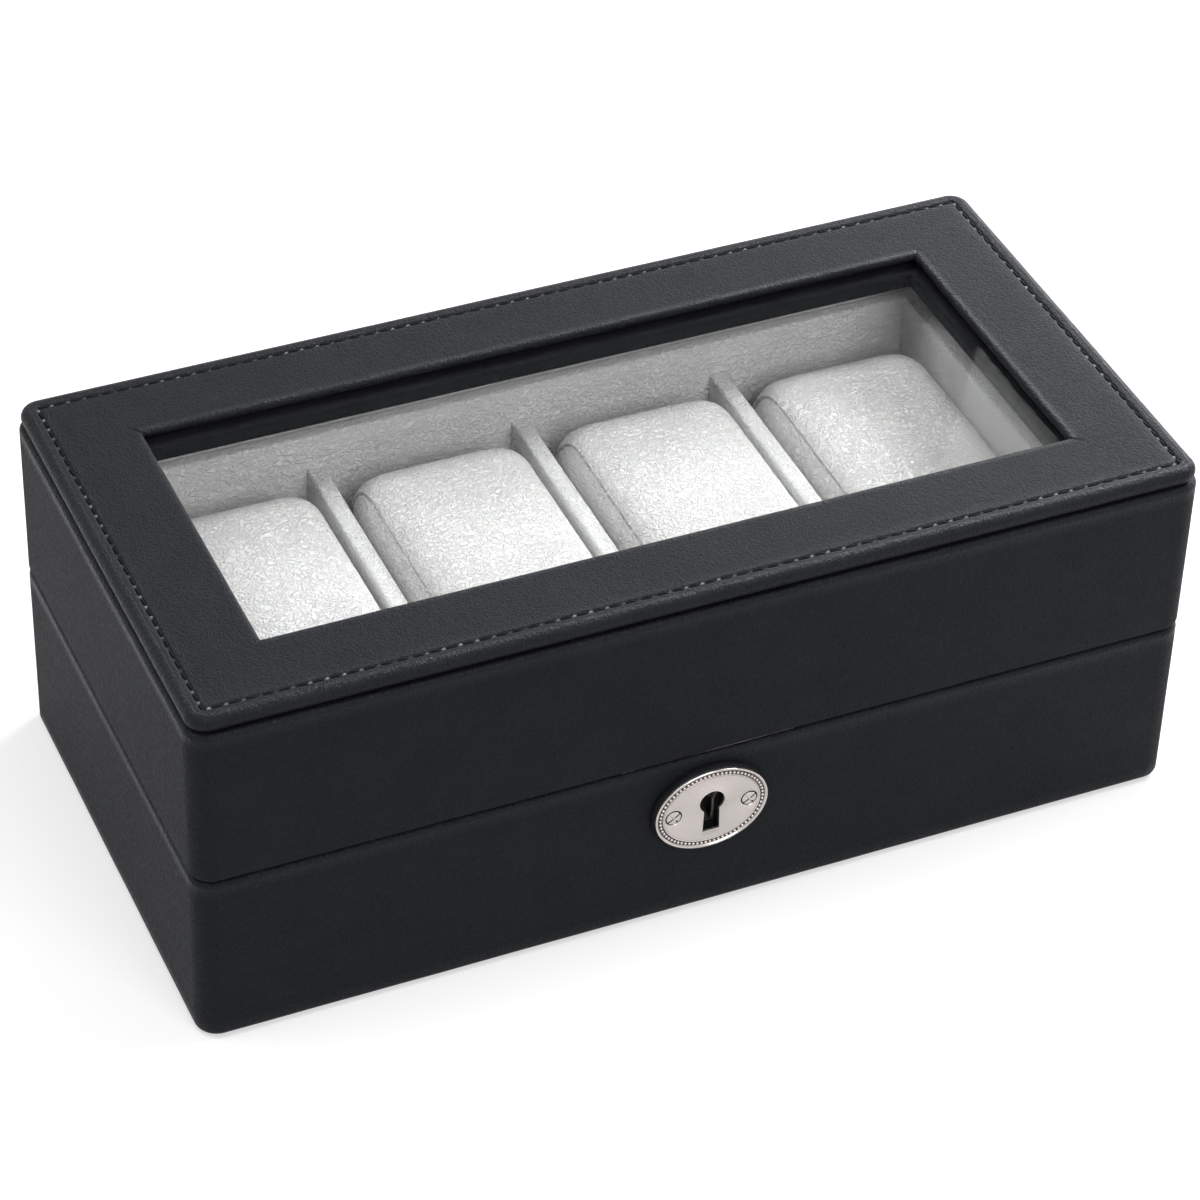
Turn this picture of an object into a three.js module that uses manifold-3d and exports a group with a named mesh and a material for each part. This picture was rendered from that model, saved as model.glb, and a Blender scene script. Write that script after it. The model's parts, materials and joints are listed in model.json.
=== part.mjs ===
// Watch display case for four watches: a wrapped board box with a lined tray, a glass lid and a box lock.
// Millimetres, +Z up. The origin is the middle of the underside, +X runs along the case, the lock faces -Y.

import * as THREE from 'three';
import { mergeVertices } from 'three/addons/utils/BufferGeometryUtils.js';
import Module from 'manifold-3d';

const wasm = await Module();
wasm.setup();

// The case as a whole
const caseLength = 270;
const caseDepth = 136;
const caseHeight = 103;
const caseCorner = 6; // radius of the upright corners
const rimHeight = 51.5; // top of the base's rim above the table
const lidGap = 0.3; // between the rim and the closed lid

// What many pieces share
const leather = 0.9; // leatherette with its paper backing
const rolledEdge = 1.5; // radius where the leatherette goes round a board's edge
const turnUnder = 12; // leatherette turned in under the base
const glueLine = 0.1; // between glued faces
const fit = 0.3; // between faces that slide or lie loose
const leastCorner = 0.4; // radius that is left of an inner corner
const cutOverrun = 2; // how far a cut runs past the face that it opens

// Boards of the base and the lid
const baseWall = 7;
const lidWall = 3.2; // thin, so that the lid clears the tray as it swings
const lidRearWall = 6; // thicker, because it takes the hinge screws
const bottomPanel = 5;
const feltSheet = 0.8;
const feltInset = 3; // from the outline of the case to the felt's edge

// Tray: four compartments side by side between tall lined boards
const compartments = 4;
const divider = 4.8;
const dividerHeight = 37.9; // above the tray floor
const endBoard = 13.3; // left and right boards of the tray
const collar = 3.6; // front and rear boards of the tray
const collarGap = 14.1; // from the tray boards' upper edges to the frame under the glass
const trayFloor = 3;
const trayFloorHeight = 30.5; // its top above the table
const bearer = 14; // width of the strips that carry the tray floor
const softEdge = 1.6; // radius of a lined board's upper edges

// Cushions
const cushionGap = 4.7; // from a cushion's side to the board beside it
const strapGap = 4.8; // from a cushion's end to the board before it
const watchRoom = 22; // from the cushions' highest line to the glass
const cushionEnd = 21; // radius of the rounded ends, seen from the side
const cushionCrown = 2.6; // how far the band rolls down to its two seams
const cushionPress = 1.2; // how far the underside is pressed flat
const cushionRise = 0.8; // swelling of the top along its length
const seamInset = 0.6; // from the outside of a side panel to its seam
const seamDraw = 0.7; // how far a seam is drawn in

// Lid: a frame round the glass, and what holds the glass from below
const topPanel = 4.8;
const topPanelInset = 0.6; // from the lid's outline
const windowEndBorder = 26.5; // from the case's outline to the window, at the ends
const windowSideBorder = 24.5; // the same in front and at the rear
const windowCorner = 1.2;
const windowLip = 2.6; // thickness of the panel over the glass
const glassLap = 4; // how far the glass runs under the lip
const innerFrame = 10.5; // width of the frame under the glass
const innerFrameDepth = 5;
const innerFrameReveal = 1.5; // how far it shows inside the window
const innerFrameEdge = 1.2;
const liningSheet = 0.6;
const ceilingCard = 1.2;

// Hinges
const hingeFromEnd = 53; // from the end of the case to the middle of each hinge
const hingeStandOff = 0.9; // from the rear face to the pin's axis
const leafLength = 32;
const leafMargin = 0.7; // of the lid's board that a leaf leaves inside
const leafThickness = 1.2;
const barrelRadius = 1.9;
const pinRadius = 0.8;
const pinHeadRadius = 1.4;
const pinHead = 0.7;
const knuckles = 5;
const knuckleGap = 0.3;
const pinClearance = 0.2; // between the pin and a knuckle's bore
const hingeScrewSpread = 10; // from the middle of a leaf to each screw

// Screws: head radius, head height, shank radius and length below the head's face
const hingeScrew = { head: 1.4, headHeight: 0.8, shank: 0.75, length: 8 };
const lockScrew = { head: 1.4, headHeight: 0.8, shank: 0.75, length: 9 };
const strikeScrew = { head: 1.0, headHeight: 0.6, shank: 0.5, length: 7 };
const plateScrewHead = { head: 2.05, headHeight: 0.9, shank: 0.8 };
const screwLand = 0.15; // straight edge of a head above its cone
const screwSlotWidth = 0.5;
const screwSlotDepth = 0.4;
const screwClearance = 0.15;

// Lock plate on the front: an oval with a beaded border on a padded oval
const plateLength = 31;
const plateHeight = 25;
const plateThickness = 0.55;
const plateRimHeight = 0.35;
const plateRimWidth = 0.8;
const beadRadius = 0.55;
const beadPitch = 1.42;
const padThickness = 1.7;
const padOverhang = 0.4; // of the pad past the plate
const plateScrewSpread = 10.4; // from the middle to each screw
const keyholeRise = 2.2; // of the keyhole's round end above the plate's centre
const keyholeRadius = 3.15;
const keyholeSlot = 3.7; // width of the slot where it leaves the round end
const keyholeFlare = 4.1; // width of the slot at its foot
const keyholeDrop = 9.2; // from the round end's centre to the slot's foot

// Box lock in the front wall
const lockLength = 36;
const lockHeight = 27; // from its foot to the rim
const lockSheet = 0.8;
const selvageThickness = 1.2; // plate that lies in the rim
const selvageScrewPlace = 2.6; // from the end of the lock to the middle of each screw in the selvage
const selvageEnd = 2.9; // from the middle of a screw to the selvage's end
const hookSheet = 1.4; // thickness of the hooks and of the bolt
const hookSpread = 7.25; // from the middle to the middle of each hook
const hookWidth = 5.5;
const hookLength = 9.5; // below the lid's edge
const hookBack = 1.5; // what is left of the hook behind its notch
const hookLip = 2; // below its notch
const hookNotch = 3.4; // height of the notch
const hookSway = 0.4; // swing of a hook's tip as the lid starts to turn
const boltTravel = 3.6;
const boltFinger = 2.6; // height of the fingers that enter the notches
const boltArm = 2; // width of the upright arms
const boltBar = 2.4; // height of the bar that joins them
const boltTail = 10; // how far the bar runs past the key's axis
const talonPlay = 0.7; // from the key post to the prong beside it
const talonProng = 2;
const talonDrop = 5;
const keyPostRadius = 0.9;
const keyDrop = 1.8; // from the bolt's bar down to the key's axis
const guideLug = 2; // width of the lugs that the bar slides on
const springSheet = 0.4;
const springFoot = 3;
const strikeThickness = 1;
const strikeScrewSpread = 16;
const strikeEnd = 4; // from the middle of a screw to the strike plate's end

// Steps round curves
const cornerSteps = 5;
const edgeSteps = 3;
const barrelSteps = 16;
const screwSteps = 8;
const pinSteps = 12;
const keyholeSteps = 7;
const ovalSteps = 20;
const cushionSteps = 40;

const quarter = Math.PI / 2;
const halfTurn = Math.PI;

// Places that several pieces share, worked out from the sizes
const halfLength = caseLength / 2;
const halfDepth = caseDepth / 2;
const boardInset = leather + glueLine;
const wrapFoot = feltSheet + glueLine;
const boardFoot = wrapFoot + boardInset;
const baseBoardTop = rimHeight - boardInset;
const lidFoot = rimHeight + lidGap;
const lidBoardFoot = lidFoot + boardInset;
const topPanelFoot = caseHeight - topPanel;
const glassFoot = topPanelFoot + glueLine;
const glassTop = caseHeight - windowLip - glueLine;
const lidTop = topPanelFoot - glueLine;
const lidBoardTop = lidTop - boardInset;
const frameFoot = lidTop - innerFrameDepth;
const baseInnerX = halfLength - boardInset - baseWall;
const baseInnerY = halfDepth - boardInset - baseWall;
const lidInnerX = halfLength - boardInset - lidWall;
const lidInnerFront = halfDepth - boardInset - lidWall;
const lidInnerRear = halfDepth - boardInset - lidRearWall;
const trayInnerX = baseInnerX - glueLine - endBoard;
const trayInnerY = baseInnerY - glueLine - collar;
const collarTop = frameFoot - collarGap;
const compartmentWidth = (trayInnerX * 2 - (compartments - 1) * divider) / compartments;
const compartmentPitch = compartmentWidth + divider;
const cushionFoot = trayFloorHeight + fit;
const cushionWidth = compartmentWidth - cushionGap * 2;
const cushionLength = (trayInnerY - strapGap) * 2;
const cushionHeight = glassFoot - watchRoom - cushionRise - cushionFoot;
const hingePlace = halfLength - hingeFromEnd;
const hingeY = halfDepth + hingeStandOff;
const hingeZ = rimHeight + lidGap / 2;
const leafReach = hingeY - lidInnerRear - leafMargin;
const padFace = halfDepth + glueLine + padThickness;
const plateBack = padFace + glueLine;
const plateFace = plateBack + plateThickness;
const frontReach = plateFace + plateRimHeight;
const rearReach = hingeY + barrelRadius;
const lockFront = halfDepth - leather - fit;
const lockRear = baseInnerY + fit * 2;
const lockHalf = lockLength / 2;
const lockFoot = rimHeight - lockHeight;
const lockScrewSpread = lockHalf + selvageScrewPlace;
const selvageHalf = lockScrewSpread + selvageEnd;
const selvageFoot = rimHeight - selvageThickness;
const strikeHalf = strikeScrewSpread + strikeEnd;
const hookPlane = lidInnerFront + hookSheet / 2;
const hookFoot = lidFoot - hookLength;
const barTop = hookFoot - fit * 2;
const barFoot = barTop - boltBar;
const keyAxisZ = barFoot - keyDrop;
const plateCentre = keyAxisZ - keyholeRise;

// The case's outlines in plan
const caseOutline = { halfX: halfLength, halfY: halfDepth, corner: caseCorner, midY: 0 };
const windowOutline = {
  halfX: halfLength - windowEndBorder,
  halfY: halfDepth - windowSideBorder,
  corner: windowCorner,
  midY: 0,
};
const lidInside = {
  halfX: lidInnerX - glueLine,
  halfY: (lidInnerFront + lidInnerRear) / 2 - glueLine,
  corner: leastCorner,
  midY: (lidInnerRear - lidInnerFront) / 2,
};

// Solids: closed geometries that can be joined and cut
function solidOf(geometry) {
  const bare = geometry.clone();
  bare.deleteAttribute('normal');
  bare.deleteAttribute('uv');
  const merged = mergeVertices(bare);
  const vertProperties = new Float32Array(merged.attributes.position.array);
  const triVerts = new Uint32Array(merged.index.array);
  return new wasm.Manifold(new wasm.Mesh({ numProp: 3, vertProperties, triVerts }));
}

function geometryOf(solid) {
  const { vertProperties, triVerts } = solid.getMesh();
  const geometry = new THREE.BufferGeometry();
  geometry.setAttribute('position', new THREE.BufferAttribute(new Float32Array(vertProperties), 3));
  geometry.setIndex(new THREE.BufferAttribute(new Uint32Array(triVerts), 1));
  const flat = geometry.toNonIndexed();
  flat.computeVertexNormals();
  return flat;
}

function cut(geometry, ...tools) {
  const left = tools.reduce((rest, tool) => rest.subtract(solidOf(tool)), solidOf(geometry));
  return geometryOf(left);
}

function join(...geometries) {
  const whole = geometries.map(solidOf).reduce((sum, next) => sum.add(next));
  return geometryOf(whole);
}

// A box between two corners
function block([lowX, lowY, lowZ], [highX, highY, highZ]) {
  const box = new THREE.BoxGeometry(highX - lowX, highY - lowY, highZ - lowZ);
  return box.translate((lowX + highX) / 2, (lowY + highY) / 2, (lowZ + highZ) / 2);
}

// A round bar along X
function barAlongX(radius, length, steps) {
  return new THREE.CylinderGeometry(radius, radius, length, steps).rotateZ(quarter);
}

// A face drawn in X and Z, given thickness from a plane Y towards the front
function frontPlate(shape, planeY, thickness, steps) {
  const settings = { depth: thickness, bevelEnabled: false, curveSegments: steps };
  return new THREE.ExtrudeGeometry(shape, settings).rotateX(quarter).translate(0, planeY, 0);
}

// One closed skin over rows of points; it either runs round on itself or is capped at both ends
function skinOver(rows, runsRound) {
  const width = rows[0].length;
  const positions = rows.flat();
  const index = [];
  const bands = runsRound ? rows.length : rows.length - 1;
  for (let band = 0; band < bands; band += 1) {
    const near = band * width;
    const far = ((band + 1) % rows.length) * width;
    for (let at = 0; at < width; at += 1) {
      const next = (at + 1) % width;
      index.push([near + at, near + next, far + next], [near + at, far + next, far + at]);
    }
  }
  if (!runsRound) {
    [rows[0], rows[rows.length - 1]].forEach((row, end) => {
      const middle = row.reduce((sum, point) => sum.add(point), new THREE.Vector3());
      positions.push(middle.divideScalar(width));
      const start = end * (rows.length - 1) * width;
      for (let at = 0; at < width; at += 1) {
        const pair = [start + at, start + ((at + 1) % width)];
        index.push(end ? [...pair, positions.length - 1] : [...pair.reverse(), positions.length - 1]);
      }
    });
  }
  const volume = index.reduce((sum, [a, b, c]) => {
    const normal = new THREE.Vector3().crossVectors(positions[b], positions[c]);
    return sum + positions[a].dot(normal);
  }, 0);
  const faces = volume < 0 ? index.map((face) => face.reverse()) : index;
  const geometry = new THREE.BufferGeometry().setFromPoints(positions);
  geometry.setIndex(faces.flat());
  geometry.computeVertexNormals();
  return geometry;
}

// A rounded rectangle's points in plan, drawn in from its outline by an inset
function planPoints(outline, inset) {
  const radius = Math.max(outline.corner - inset, leastCorner);
  const reachX = outline.halfX - inset - radius;
  const reachY = outline.halfY - inset - radius;
  const points = [];
  for (let corner = 0; corner < 4; corner += 1) {
    const middleX = corner === 0 || corner === 3 ? reachX : -reachX;
    const middleY = corner < 2 ? reachY : -reachY;
    for (let step = 0; step <= cornerSteps; step += 1) {
      const angle = (corner + step / cornerSteps) * quarter;
      const x = middleX + radius * Math.cos(angle);
      const y = outline.midY + middleY + radius * Math.sin(angle);
      points.push([x, y]);
    }
  }
  return points;
}

// A ring that follows outlines in plan; its section is a closed list of outline, inset and height
function ringOf(section) {
  const rows = section.map(([outline, inset, z]) => {
    const points = planPoints(outline, inset);
    return points.map(([x, y]) => new THREE.Vector3(x, y, z));
  });
  return skinOver(rows, true);
}

// Section points on a quarter round: its centre as inset and height, swept from one angle by a quarter turn
function quarterRound(outline, centreInset, centreZ, radius, fromAngle) {
  return Array.from({ length: edgeSteps + 1 }, (unused, step) => {
    const angle = fromAngle + (step / edgeSteps) * quarter;
    return [outline, centreInset - radius * Math.cos(angle), centreZ + radius * Math.sin(angle)];
  });
}

// A flat sheet or panel with rounded corners in plan
function panelOf(outline, inset, lowZ, highZ) {
  const shape = new THREE.Shape(planPoints(outline, inset).map(([x, y]) => new THREE.Vector2(x, y)));
  const settings = { depth: highZ - lowZ, bevelEnabled: false };
  return new THREE.ExtrudeGeometry(shape, settings).translate(0, 0, lowZ);
}

// One board of a four-sided box, mitred to its neighbours. Sides count from the rear, anticlockwise in plan.
const sides = ['rear', 'left', 'front', 'right'];

function wallBoard(side, inside, lowZ, highZ) {
  const number = sides.indexOf(side);
  const outer = caseOutline;
  const radius = outer.corner - boardInset;
  const centreX = outer.halfX - outer.corner;
  const centreY = outer.halfY - outer.corner;
  const corners = [0, 1].map((step) => {
    const corner = (number + step) % 4;
    const towardsRight = corner === 0 || corner === 3;
    const towardsRear = corner < 2;
    return {
      middle: [towardsRight ? centreX : -centreX, towardsRear ? centreY : -centreY],
      inner: [towardsRight ? inside.x : -inside.x, towardsRear ? inside.rear : -inside.front],
    };
  });
  const shape = new THREE.Shape();
  shape.moveTo(...corners[0].inner);
  shape.absarc(...corners[0].middle, radius, (number + 0.5) * quarter, (number + 1) * quarter, false);
  shape.absarc(...corners[1].middle, radius, (number + 1) * quarter, (number + 1.5) * quarter, false);
  shape.lineTo(...corners[1].inner);
  const settings = { depth: highZ - lowZ, bevelEnabled: false, curveSegments: edgeSteps };
  return new THREE.ExtrudeGeometry(shape, settings).translate(0, 0, lowZ);
}

// A lined board that runs along X or Y, with its upper edges rounded
function linedBoard(thickness, length, lowZ, highZ, runsAlongX) {
  const half = thickness / 2;
  const edge = Math.min(softEdge, half - leastCorner);
  const shape = new THREE.Shape();
  shape.moveTo(-half, lowZ);
  shape.lineTo(half, lowZ);
  shape.absarc(half - edge, highZ - edge, edge, 0, quarter, false);
  shape.absarc(edge - half, highZ - edge, edge, quarter, halfTurn, false);
  const settings = { depth: length, bevelEnabled: false, curveSegments: edgeSteps };
  const board = new THREE.ExtrudeGeometry(shape, settings).translate(0, 0, -length / 2).rotateX(quarter);
  return runsAlongX ? board.rotateZ(quarter) : board;
}

// A countersunk screw, its head's face at zero, its shank below. A clearance makes it the tool for its seat.
function screwTurned({ head, headHeight, shank, length }, clearance, above) {
  const profile = [
    [0, -length - clearance],
    [shank + clearance, -length - clearance],
    [shank + clearance, -headHeight],
    [head + clearance, -screwLand],
    [head + clearance, above],
    [0, above],
  ];
  const outline = profile.map(([r, z]) => new THREE.Vector2(r, z));
  return new THREE.LatheGeometry(outline, screwSteps).rotateX(quarter);
}

function screwOf(size) {
  const slotReach = size.head + fit;
  const halfSlot = screwSlotWidth / 2;
  const slot = block([-slotReach, -halfSlot, -screwSlotDepth], [slotReach, halfSlot, cutOverrun]);
  return cut(screwTurned(size, 0, 0), slot);
}

function screwSeat(size) {
  return screwTurned(size, screwClearance, cutOverrun);
}

// Materials
function finish(name, colour, roughness, metalness, extra = {}) {
  const color = new THREE.Color(colour);
  return new THREE.MeshStandardMaterial({ name, color, roughness, metalness, ...extra });
}

const leatherette = finish('leatherette', 0x26272a, 0.5, 0);
const board = finish('fibreboard', 0xa98962, 0.9, 0);
const suede = finish('suede lining', 0xbdbdbd, 0.95, 0);
const cushionSuede = finish('cushion suede', 0xe9e9e9, 0.95, 0);
const feltCloth = finish('felt', 0x1d1d1f, 1, 0);
const glass = finish('glass', 0xeef4f3, 0.05, 0, { transparent: true, opacity: 0.25 });
const nickel = finish('satin nickel', 0xb9b2ae, 0.32, 1);
const steel = finish('zinc plated steel', 0x9c9a94, 0.4, 1);

const whole = new THREE.Group();
const base = new THREE.Group();
const tray = new THREE.Group();
const lid = new THREE.Group();
const lock = new THREE.Group();
whole.add(base, tray, lid, lock);

function addPiece(parent, name, geometry, material) {
  const mesh = new THREE.Mesh(geometry, material);
  mesh.name = name;
  parent.add(mesh);
  return mesh;
}

// Keyhole: a round end with a slot that widens a little towards its foot
function keyholeShape(extra) {
  const radius = keyholeRadius + extra;
  const waist = keyholeSlot / 2 + extra;
  const foot = keyholeFlare / 2 + extra;
  const lean = Math.asin(waist / radius);
  const shape = new THREE.Shape();
  shape.moveTo(-foot, -keyholeDrop - extra);
  shape.lineTo(foot, -keyholeDrop - extra);
  shape.absarc(0, 0, radius, lean - quarter, halfTurn + quarter - lean, false);
  return shape;
}

function keyholeTool(extra, planeY, depth) {
  return frontPlate(keyholeShape(extra), planeY, depth, keyholeSteps).translate(0, 0, keyAxisZ);
}

// The two screws of the lock plate, as tools or as pieces, with their heads flush with the plate's rim
const plateScrewFace = frontReach - plateRimHeight / 2;
const plateScrew = { ...plateScrewHead, length: plateScrewFace - lockFront + lockSheet };

function atPlateScrew(geometry, sideSign) {
  return geometry.rotateX(quarter).translate(sideSign * plateScrewSpread, -plateScrewFace, plateCentre);
}

const plateScrewSeats = [-1, 1].map((sign) => atPlateScrew(screwSeat(plateScrew), sign));

// Seats of the hinge leaves, cut in both rims at the rear
const leafSeatReach = leafReach + fit;
const barrelSeat = barrelRadius + fit;
const barrelSeatLength = leafLength + (pinHead + glueLine + fit) * 2;

function hingeSeats(up) {
  const deep = up * (lidGap / 2 + leafThickness + glueLine);
  const low = Math.min(deep, -up * cutOverrun);
  const high = Math.max(deep, -up * cutOverrun);
  const reachX = leafLength / 2 + fit;
  return [-hingePlace, hingePlace].flatMap((x) => [
    block([-reachX, -leafSeatReach, low], [reachX, cutOverrun, high]).translate(x, hingeY, hingeZ),
    barAlongX(barrelSeat, barrelSeatLength, barrelSteps).translate(x, hingeY, hingeZ),
  ]);
}

function hingeScrewSeats(up) {
  const seat = () => (up > 0 ? screwSeat(hingeScrew).rotateX(halfTurn) : screwSeat(hingeScrew));
  return hingeScrewPlaces(up).map(([x, y, z]) => seat().translate(x, y, z));
}

// Screws stand in the middle of the leaf's flat part
const leafMiddle = (leafReach + barrelRadius + fit) / 2;

function hingeScrewPlaces(up) {
  const leafFace = hingeZ + (up * lidGap) / 2;
  return [-hingePlace, hingePlace].flatMap((x) =>
    [-hingeScrewSpread, hingeScrewSpread].map((along) => [x + along, hingeY - leafMiddle, leafFace]));
}

// Seats of the lock's selvage and of the strike plate, cut in both rims at the front
const lockOpening = block(
  [-lockHalf - fit, -halfDepth, lockFoot - fit],
  [lockHalf + fit, -lockRear + cutOverrun * 2, rimHeight + cutOverrun],
);
const selvageSeat = block(
  [-selvageHalf - fit, -lockFront - glueLine, selvageFoot - glueLine],
  [selvageHalf + fit, -lockRear + cutOverrun, rimHeight + cutOverrun],
);
const strikeFront = halfDepth - boardInset - glueLine;
const strikeRear = lidInnerFront;
const strikeSeat = block(
  [-strikeHalf - fit, -strikeFront - glueLine, lidFoot - cutOverrun],
  [strikeHalf + fit, -strikeRear + cutOverrun, lidFoot + strikeThickness + glueLine],
);
const lockScrewY = -(lockFront + lockRear) / 2;
const lockScrewSeats = [-1, 1].map((sign) =>
  screwSeat(lockScrew).translate(sign * lockScrewSpread, lockScrewY, rimHeight));
const strikeScrewY = -(strikeFront + strikeRear) / 2;
const strikeScrewSeats = [-1, 1].map((sign) =>
  screwSeat(strikeScrew).rotateX(halfTurn).translate(sign * strikeScrewSpread, strikeScrewY, lidFoot));

// Base: four mitred walls and a bottom panel between them
const baseInside = { x: baseInnerX, rear: baseInnerY, front: baseInnerY };
const baseWalls = {};
sides.forEach((side) => {
  baseWalls[side] = wallBoard(side, baseInside, boardFoot, baseBoardTop);
});
baseWalls.front = cut(baseWalls.front, lockOpening, selvageSeat, ...lockScrewSeats);
baseWalls.rear = cut(baseWalls.rear, ...hingeSeats(-1), ...hingeScrewSeats(-1));
sides.forEach((side) => addPiece(base, `base_wall_${side}`, baseWalls[side], board));

const bottomPanelTop = boardFoot + bottomPanel;
const baseFloorOutline = { halfX: baseInnerX, halfY: baseInnerY, corner: leastCorner, midY: 0 };
addPiece(base, 'base_bottom_panel', panelOf(baseFloorOutline, glueLine, boardFoot, bottomPanelTop), board);

// Leatherette of the base: up the walls, over the rim and turned in under the bottom
const rimTurnIn = boardInset + baseWall - glueLine;
const baseWrap = ringOf([
  [caseOutline, turnUnder, wrapFoot],
  ...quarterRound(caseOutline, rolledEdge, wrapFoot + rolledEdge, rolledEdge, -quarter),
  ...quarterRound(caseOutline, rolledEdge, rimHeight - rolledEdge, rolledEdge, 0),
  [caseOutline, rimTurnIn, rimHeight],
  [caseOutline, rimTurnIn, rimHeight - leather],
  [caseOutline, leather, rimHeight - leather],
  [caseOutline, leather, wrapFoot + leather],
  [caseOutline, turnUnder, wrapFoot + leather],
]);
const wrapKeyhole = keyholeTool(fit, -halfDepth + cutOverrun, cutOverrun * 2);
addPiece(
  base,
  'base_leatherette',
  cut(baseWrap, selvageSeat, wrapKeyhole, ...plateScrewSeats, ...hingeSeats(-1)),
  leatherette,
);
addPiece(base, 'base_felt', panelOf(caseOutline, feltInset, 0, feltSheet), feltCloth);

// Tray: bearers on the bottom panel, the floor on them, the tall boards round it and three dividers
const trayLow = bottomPanelTop + glueLine;
const trayFloorFoot = trayFloorHeight - trayFloor;
const betweenCollars = (trayInnerY - glueLine) * 2;
[['front', -1], ['rear', 1]].forEach(([side, sign]) => {
  const collarBoard = linedBoard(collar, (baseInnerX - glueLine) * 2, trayLow, collarTop, true);
  addPiece(tray, `tray_board_${side}`, collarBoard, suede).position.y = sign * (trayInnerY + collar / 2);
  const strip = block(
    [glueLine - trayInnerX, -bearer / 2, trayLow],
    [trayInnerX - glueLine, bearer / 2, trayFloorFoot - glueLine],
  );
  const stripY = sign * (trayInnerY - glueLine - bearer / 2);
  addPiece(tray, `tray_bearer_${side}`, strip, board).position.y = stripY;
});
[['left', -1], ['right', 1]].forEach(([side, sign]) => {
  const end = linedBoard(endBoard, betweenCollars, trayLow, collarTop, false);
  addPiece(tray, `tray_board_${side}`, end, suede).position.x = sign * (trayInnerX + endBoard / 2);
});
const trayOutline = { halfX: trayInnerX, halfY: trayInnerY, corner: leastCorner, midY: 0 };
addPiece(tray, 'tray_floor', panelOf(trayOutline, glueLine, trayFloorFoot, trayFloorHeight), suede);

const dividerFoot = trayFloorHeight + glueLine;
const dividerTop = trayFloorHeight + dividerHeight;
for (let place = 1; place < compartments; place += 1) {
  const wallBetween = linedBoard(divider, betweenCollars, dividerFoot, dividerTop, false);
  const dividerX = (place - compartments / 2) * compartmentPitch;
  addPiece(tray, `divider_${place}`, wallBetween, suede).position.x = dividerX;
}

// Cushion: a band sewn between two oval side panels, rolled down to its seams and pressed flat below.
// Each row is the side outline at one place across the width. Across shares run from the middle outwards.
const bandAcrossShares = [0, 0.35, 0.62, 0.82, 0.94];
const bandRollPower = 8;
const panelInsetShares = [0.16, 0.45, 0.78];
const panelDomeShares = [0.55, 0.9, 1];

function cushionForm() {
  const halfWidth = cushionWidth / 2;
  const seamAt = halfWidth - seamInset;
  const middleZ = (cushionHeight - cushionPress) / 2;
  const halfHeight = (cushionHeight + cushionPress) / 2;
  const panelDepth = halfHeight - cushionCrown - seamDraw;
  const outlineRow = (x, inset) => {
    const long = cushionLength / 2 - inset;
    const tall = halfHeight - inset;
    const radius = Math.min(cushionEnd, tall) - leastCorner;
    const outline = new THREE.Shape();
    outline.moveTo(long, radius - tall);
    outline.absarc(long - radius, tall - radius, radius, 0, quarter, false);
    outline.absarc(radius - long, tall - radius, radius, quarter, halfTurn, false);
    outline.absarc(radius - long, radius - tall, radius, halfTurn, halfTurn + quarter, false);
    outline.absarc(long - radius, radius - tall, radius, -quarter, 0, false);
    return outline.getSpacedPoints(cushionSteps).slice(0, -1).map((point) => {
      const swell = cushionRise * Math.max(point.y / halfHeight, 0) * (1 - (point.x / long) ** 2);
      return new THREE.Vector3(x, point.x, Math.max(middleZ + point.y + swell, 0));
    });
  };
  const halfRows = bandAcrossShares.map((share) => [share * seamAt, cushionCrown * share ** bandRollPower]);
  halfRows.push([seamAt, cushionCrown + seamDraw]);
  panelInsetShares.forEach((share, at) => {
    const dome = seamAt + seamInset * panelDomeShares[at];
    halfRows.push([dome, cushionCrown + share * panelDepth]);
  });
  const otherSide = halfRows.slice(1).reverse().map(([x, inset]) => [-x, inset]);
  return skinOver([...otherSide, ...halfRows].map(([x, inset]) => outlineRow(x, inset)), false);
}

for (let place = 1; place <= compartments; place += 1) {
  const cushion = addPiece(tray, `cushion_${place}`, cushionForm(), cushionSuede);
  cushion.position.set((place - (compartments + 1) / 2) * compartmentPitch, 0, cushionFoot);
}

// Lid: four mitred walls, the thin ones in front and at the ends
const lidWallsInside = { x: lidInnerX, rear: lidInnerRear, front: lidInnerFront };
const lidWalls = {};
sides.forEach((side) => {
  lidWalls[side] = wallBoard(side, lidWallsInside, lidBoardFoot, lidBoardTop);
});
lidWalls.front = cut(lidWalls.front, strikeSeat, ...strikeScrewSeats);
lidWalls.rear = cut(lidWalls.rear, ...hingeSeats(1), ...hingeScrewSeats(1));
sides.forEach((side) => addPiece(lid, `lid_wall_${side}`, lidWalls[side], board));

// Leatherette of the lid: turned in below and above, further at the rear where the wall is thick
const lidWrapInside = { ...lidInside, halfX: lidInnerX, halfY: (lidInnerFront + lidInnerRear) / 2 };
const lidWrap = ringOf([
  ...quarterRound(caseOutline, rolledEdge, lidFoot + rolledEdge, rolledEdge, -quarter),
  ...quarterRound(caseOutline, rolledEdge, lidTop - rolledEdge, rolledEdge, 0),
  [lidWrapInside, 0, lidTop],
  [lidWrapInside, 0, lidTop - leather],
  [caseOutline, leather, lidTop - leather],
  [caseOutline, leather, lidFoot + leather],
  [lidWrapInside, 0, lidFoot + leather],
  [lidWrapInside, 0, lidFoot],
]);
addPiece(lid, 'lid_leatherette', cut(lidWrap, strikeSeat, ...hingeSeats(1)), leatherette);

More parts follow.
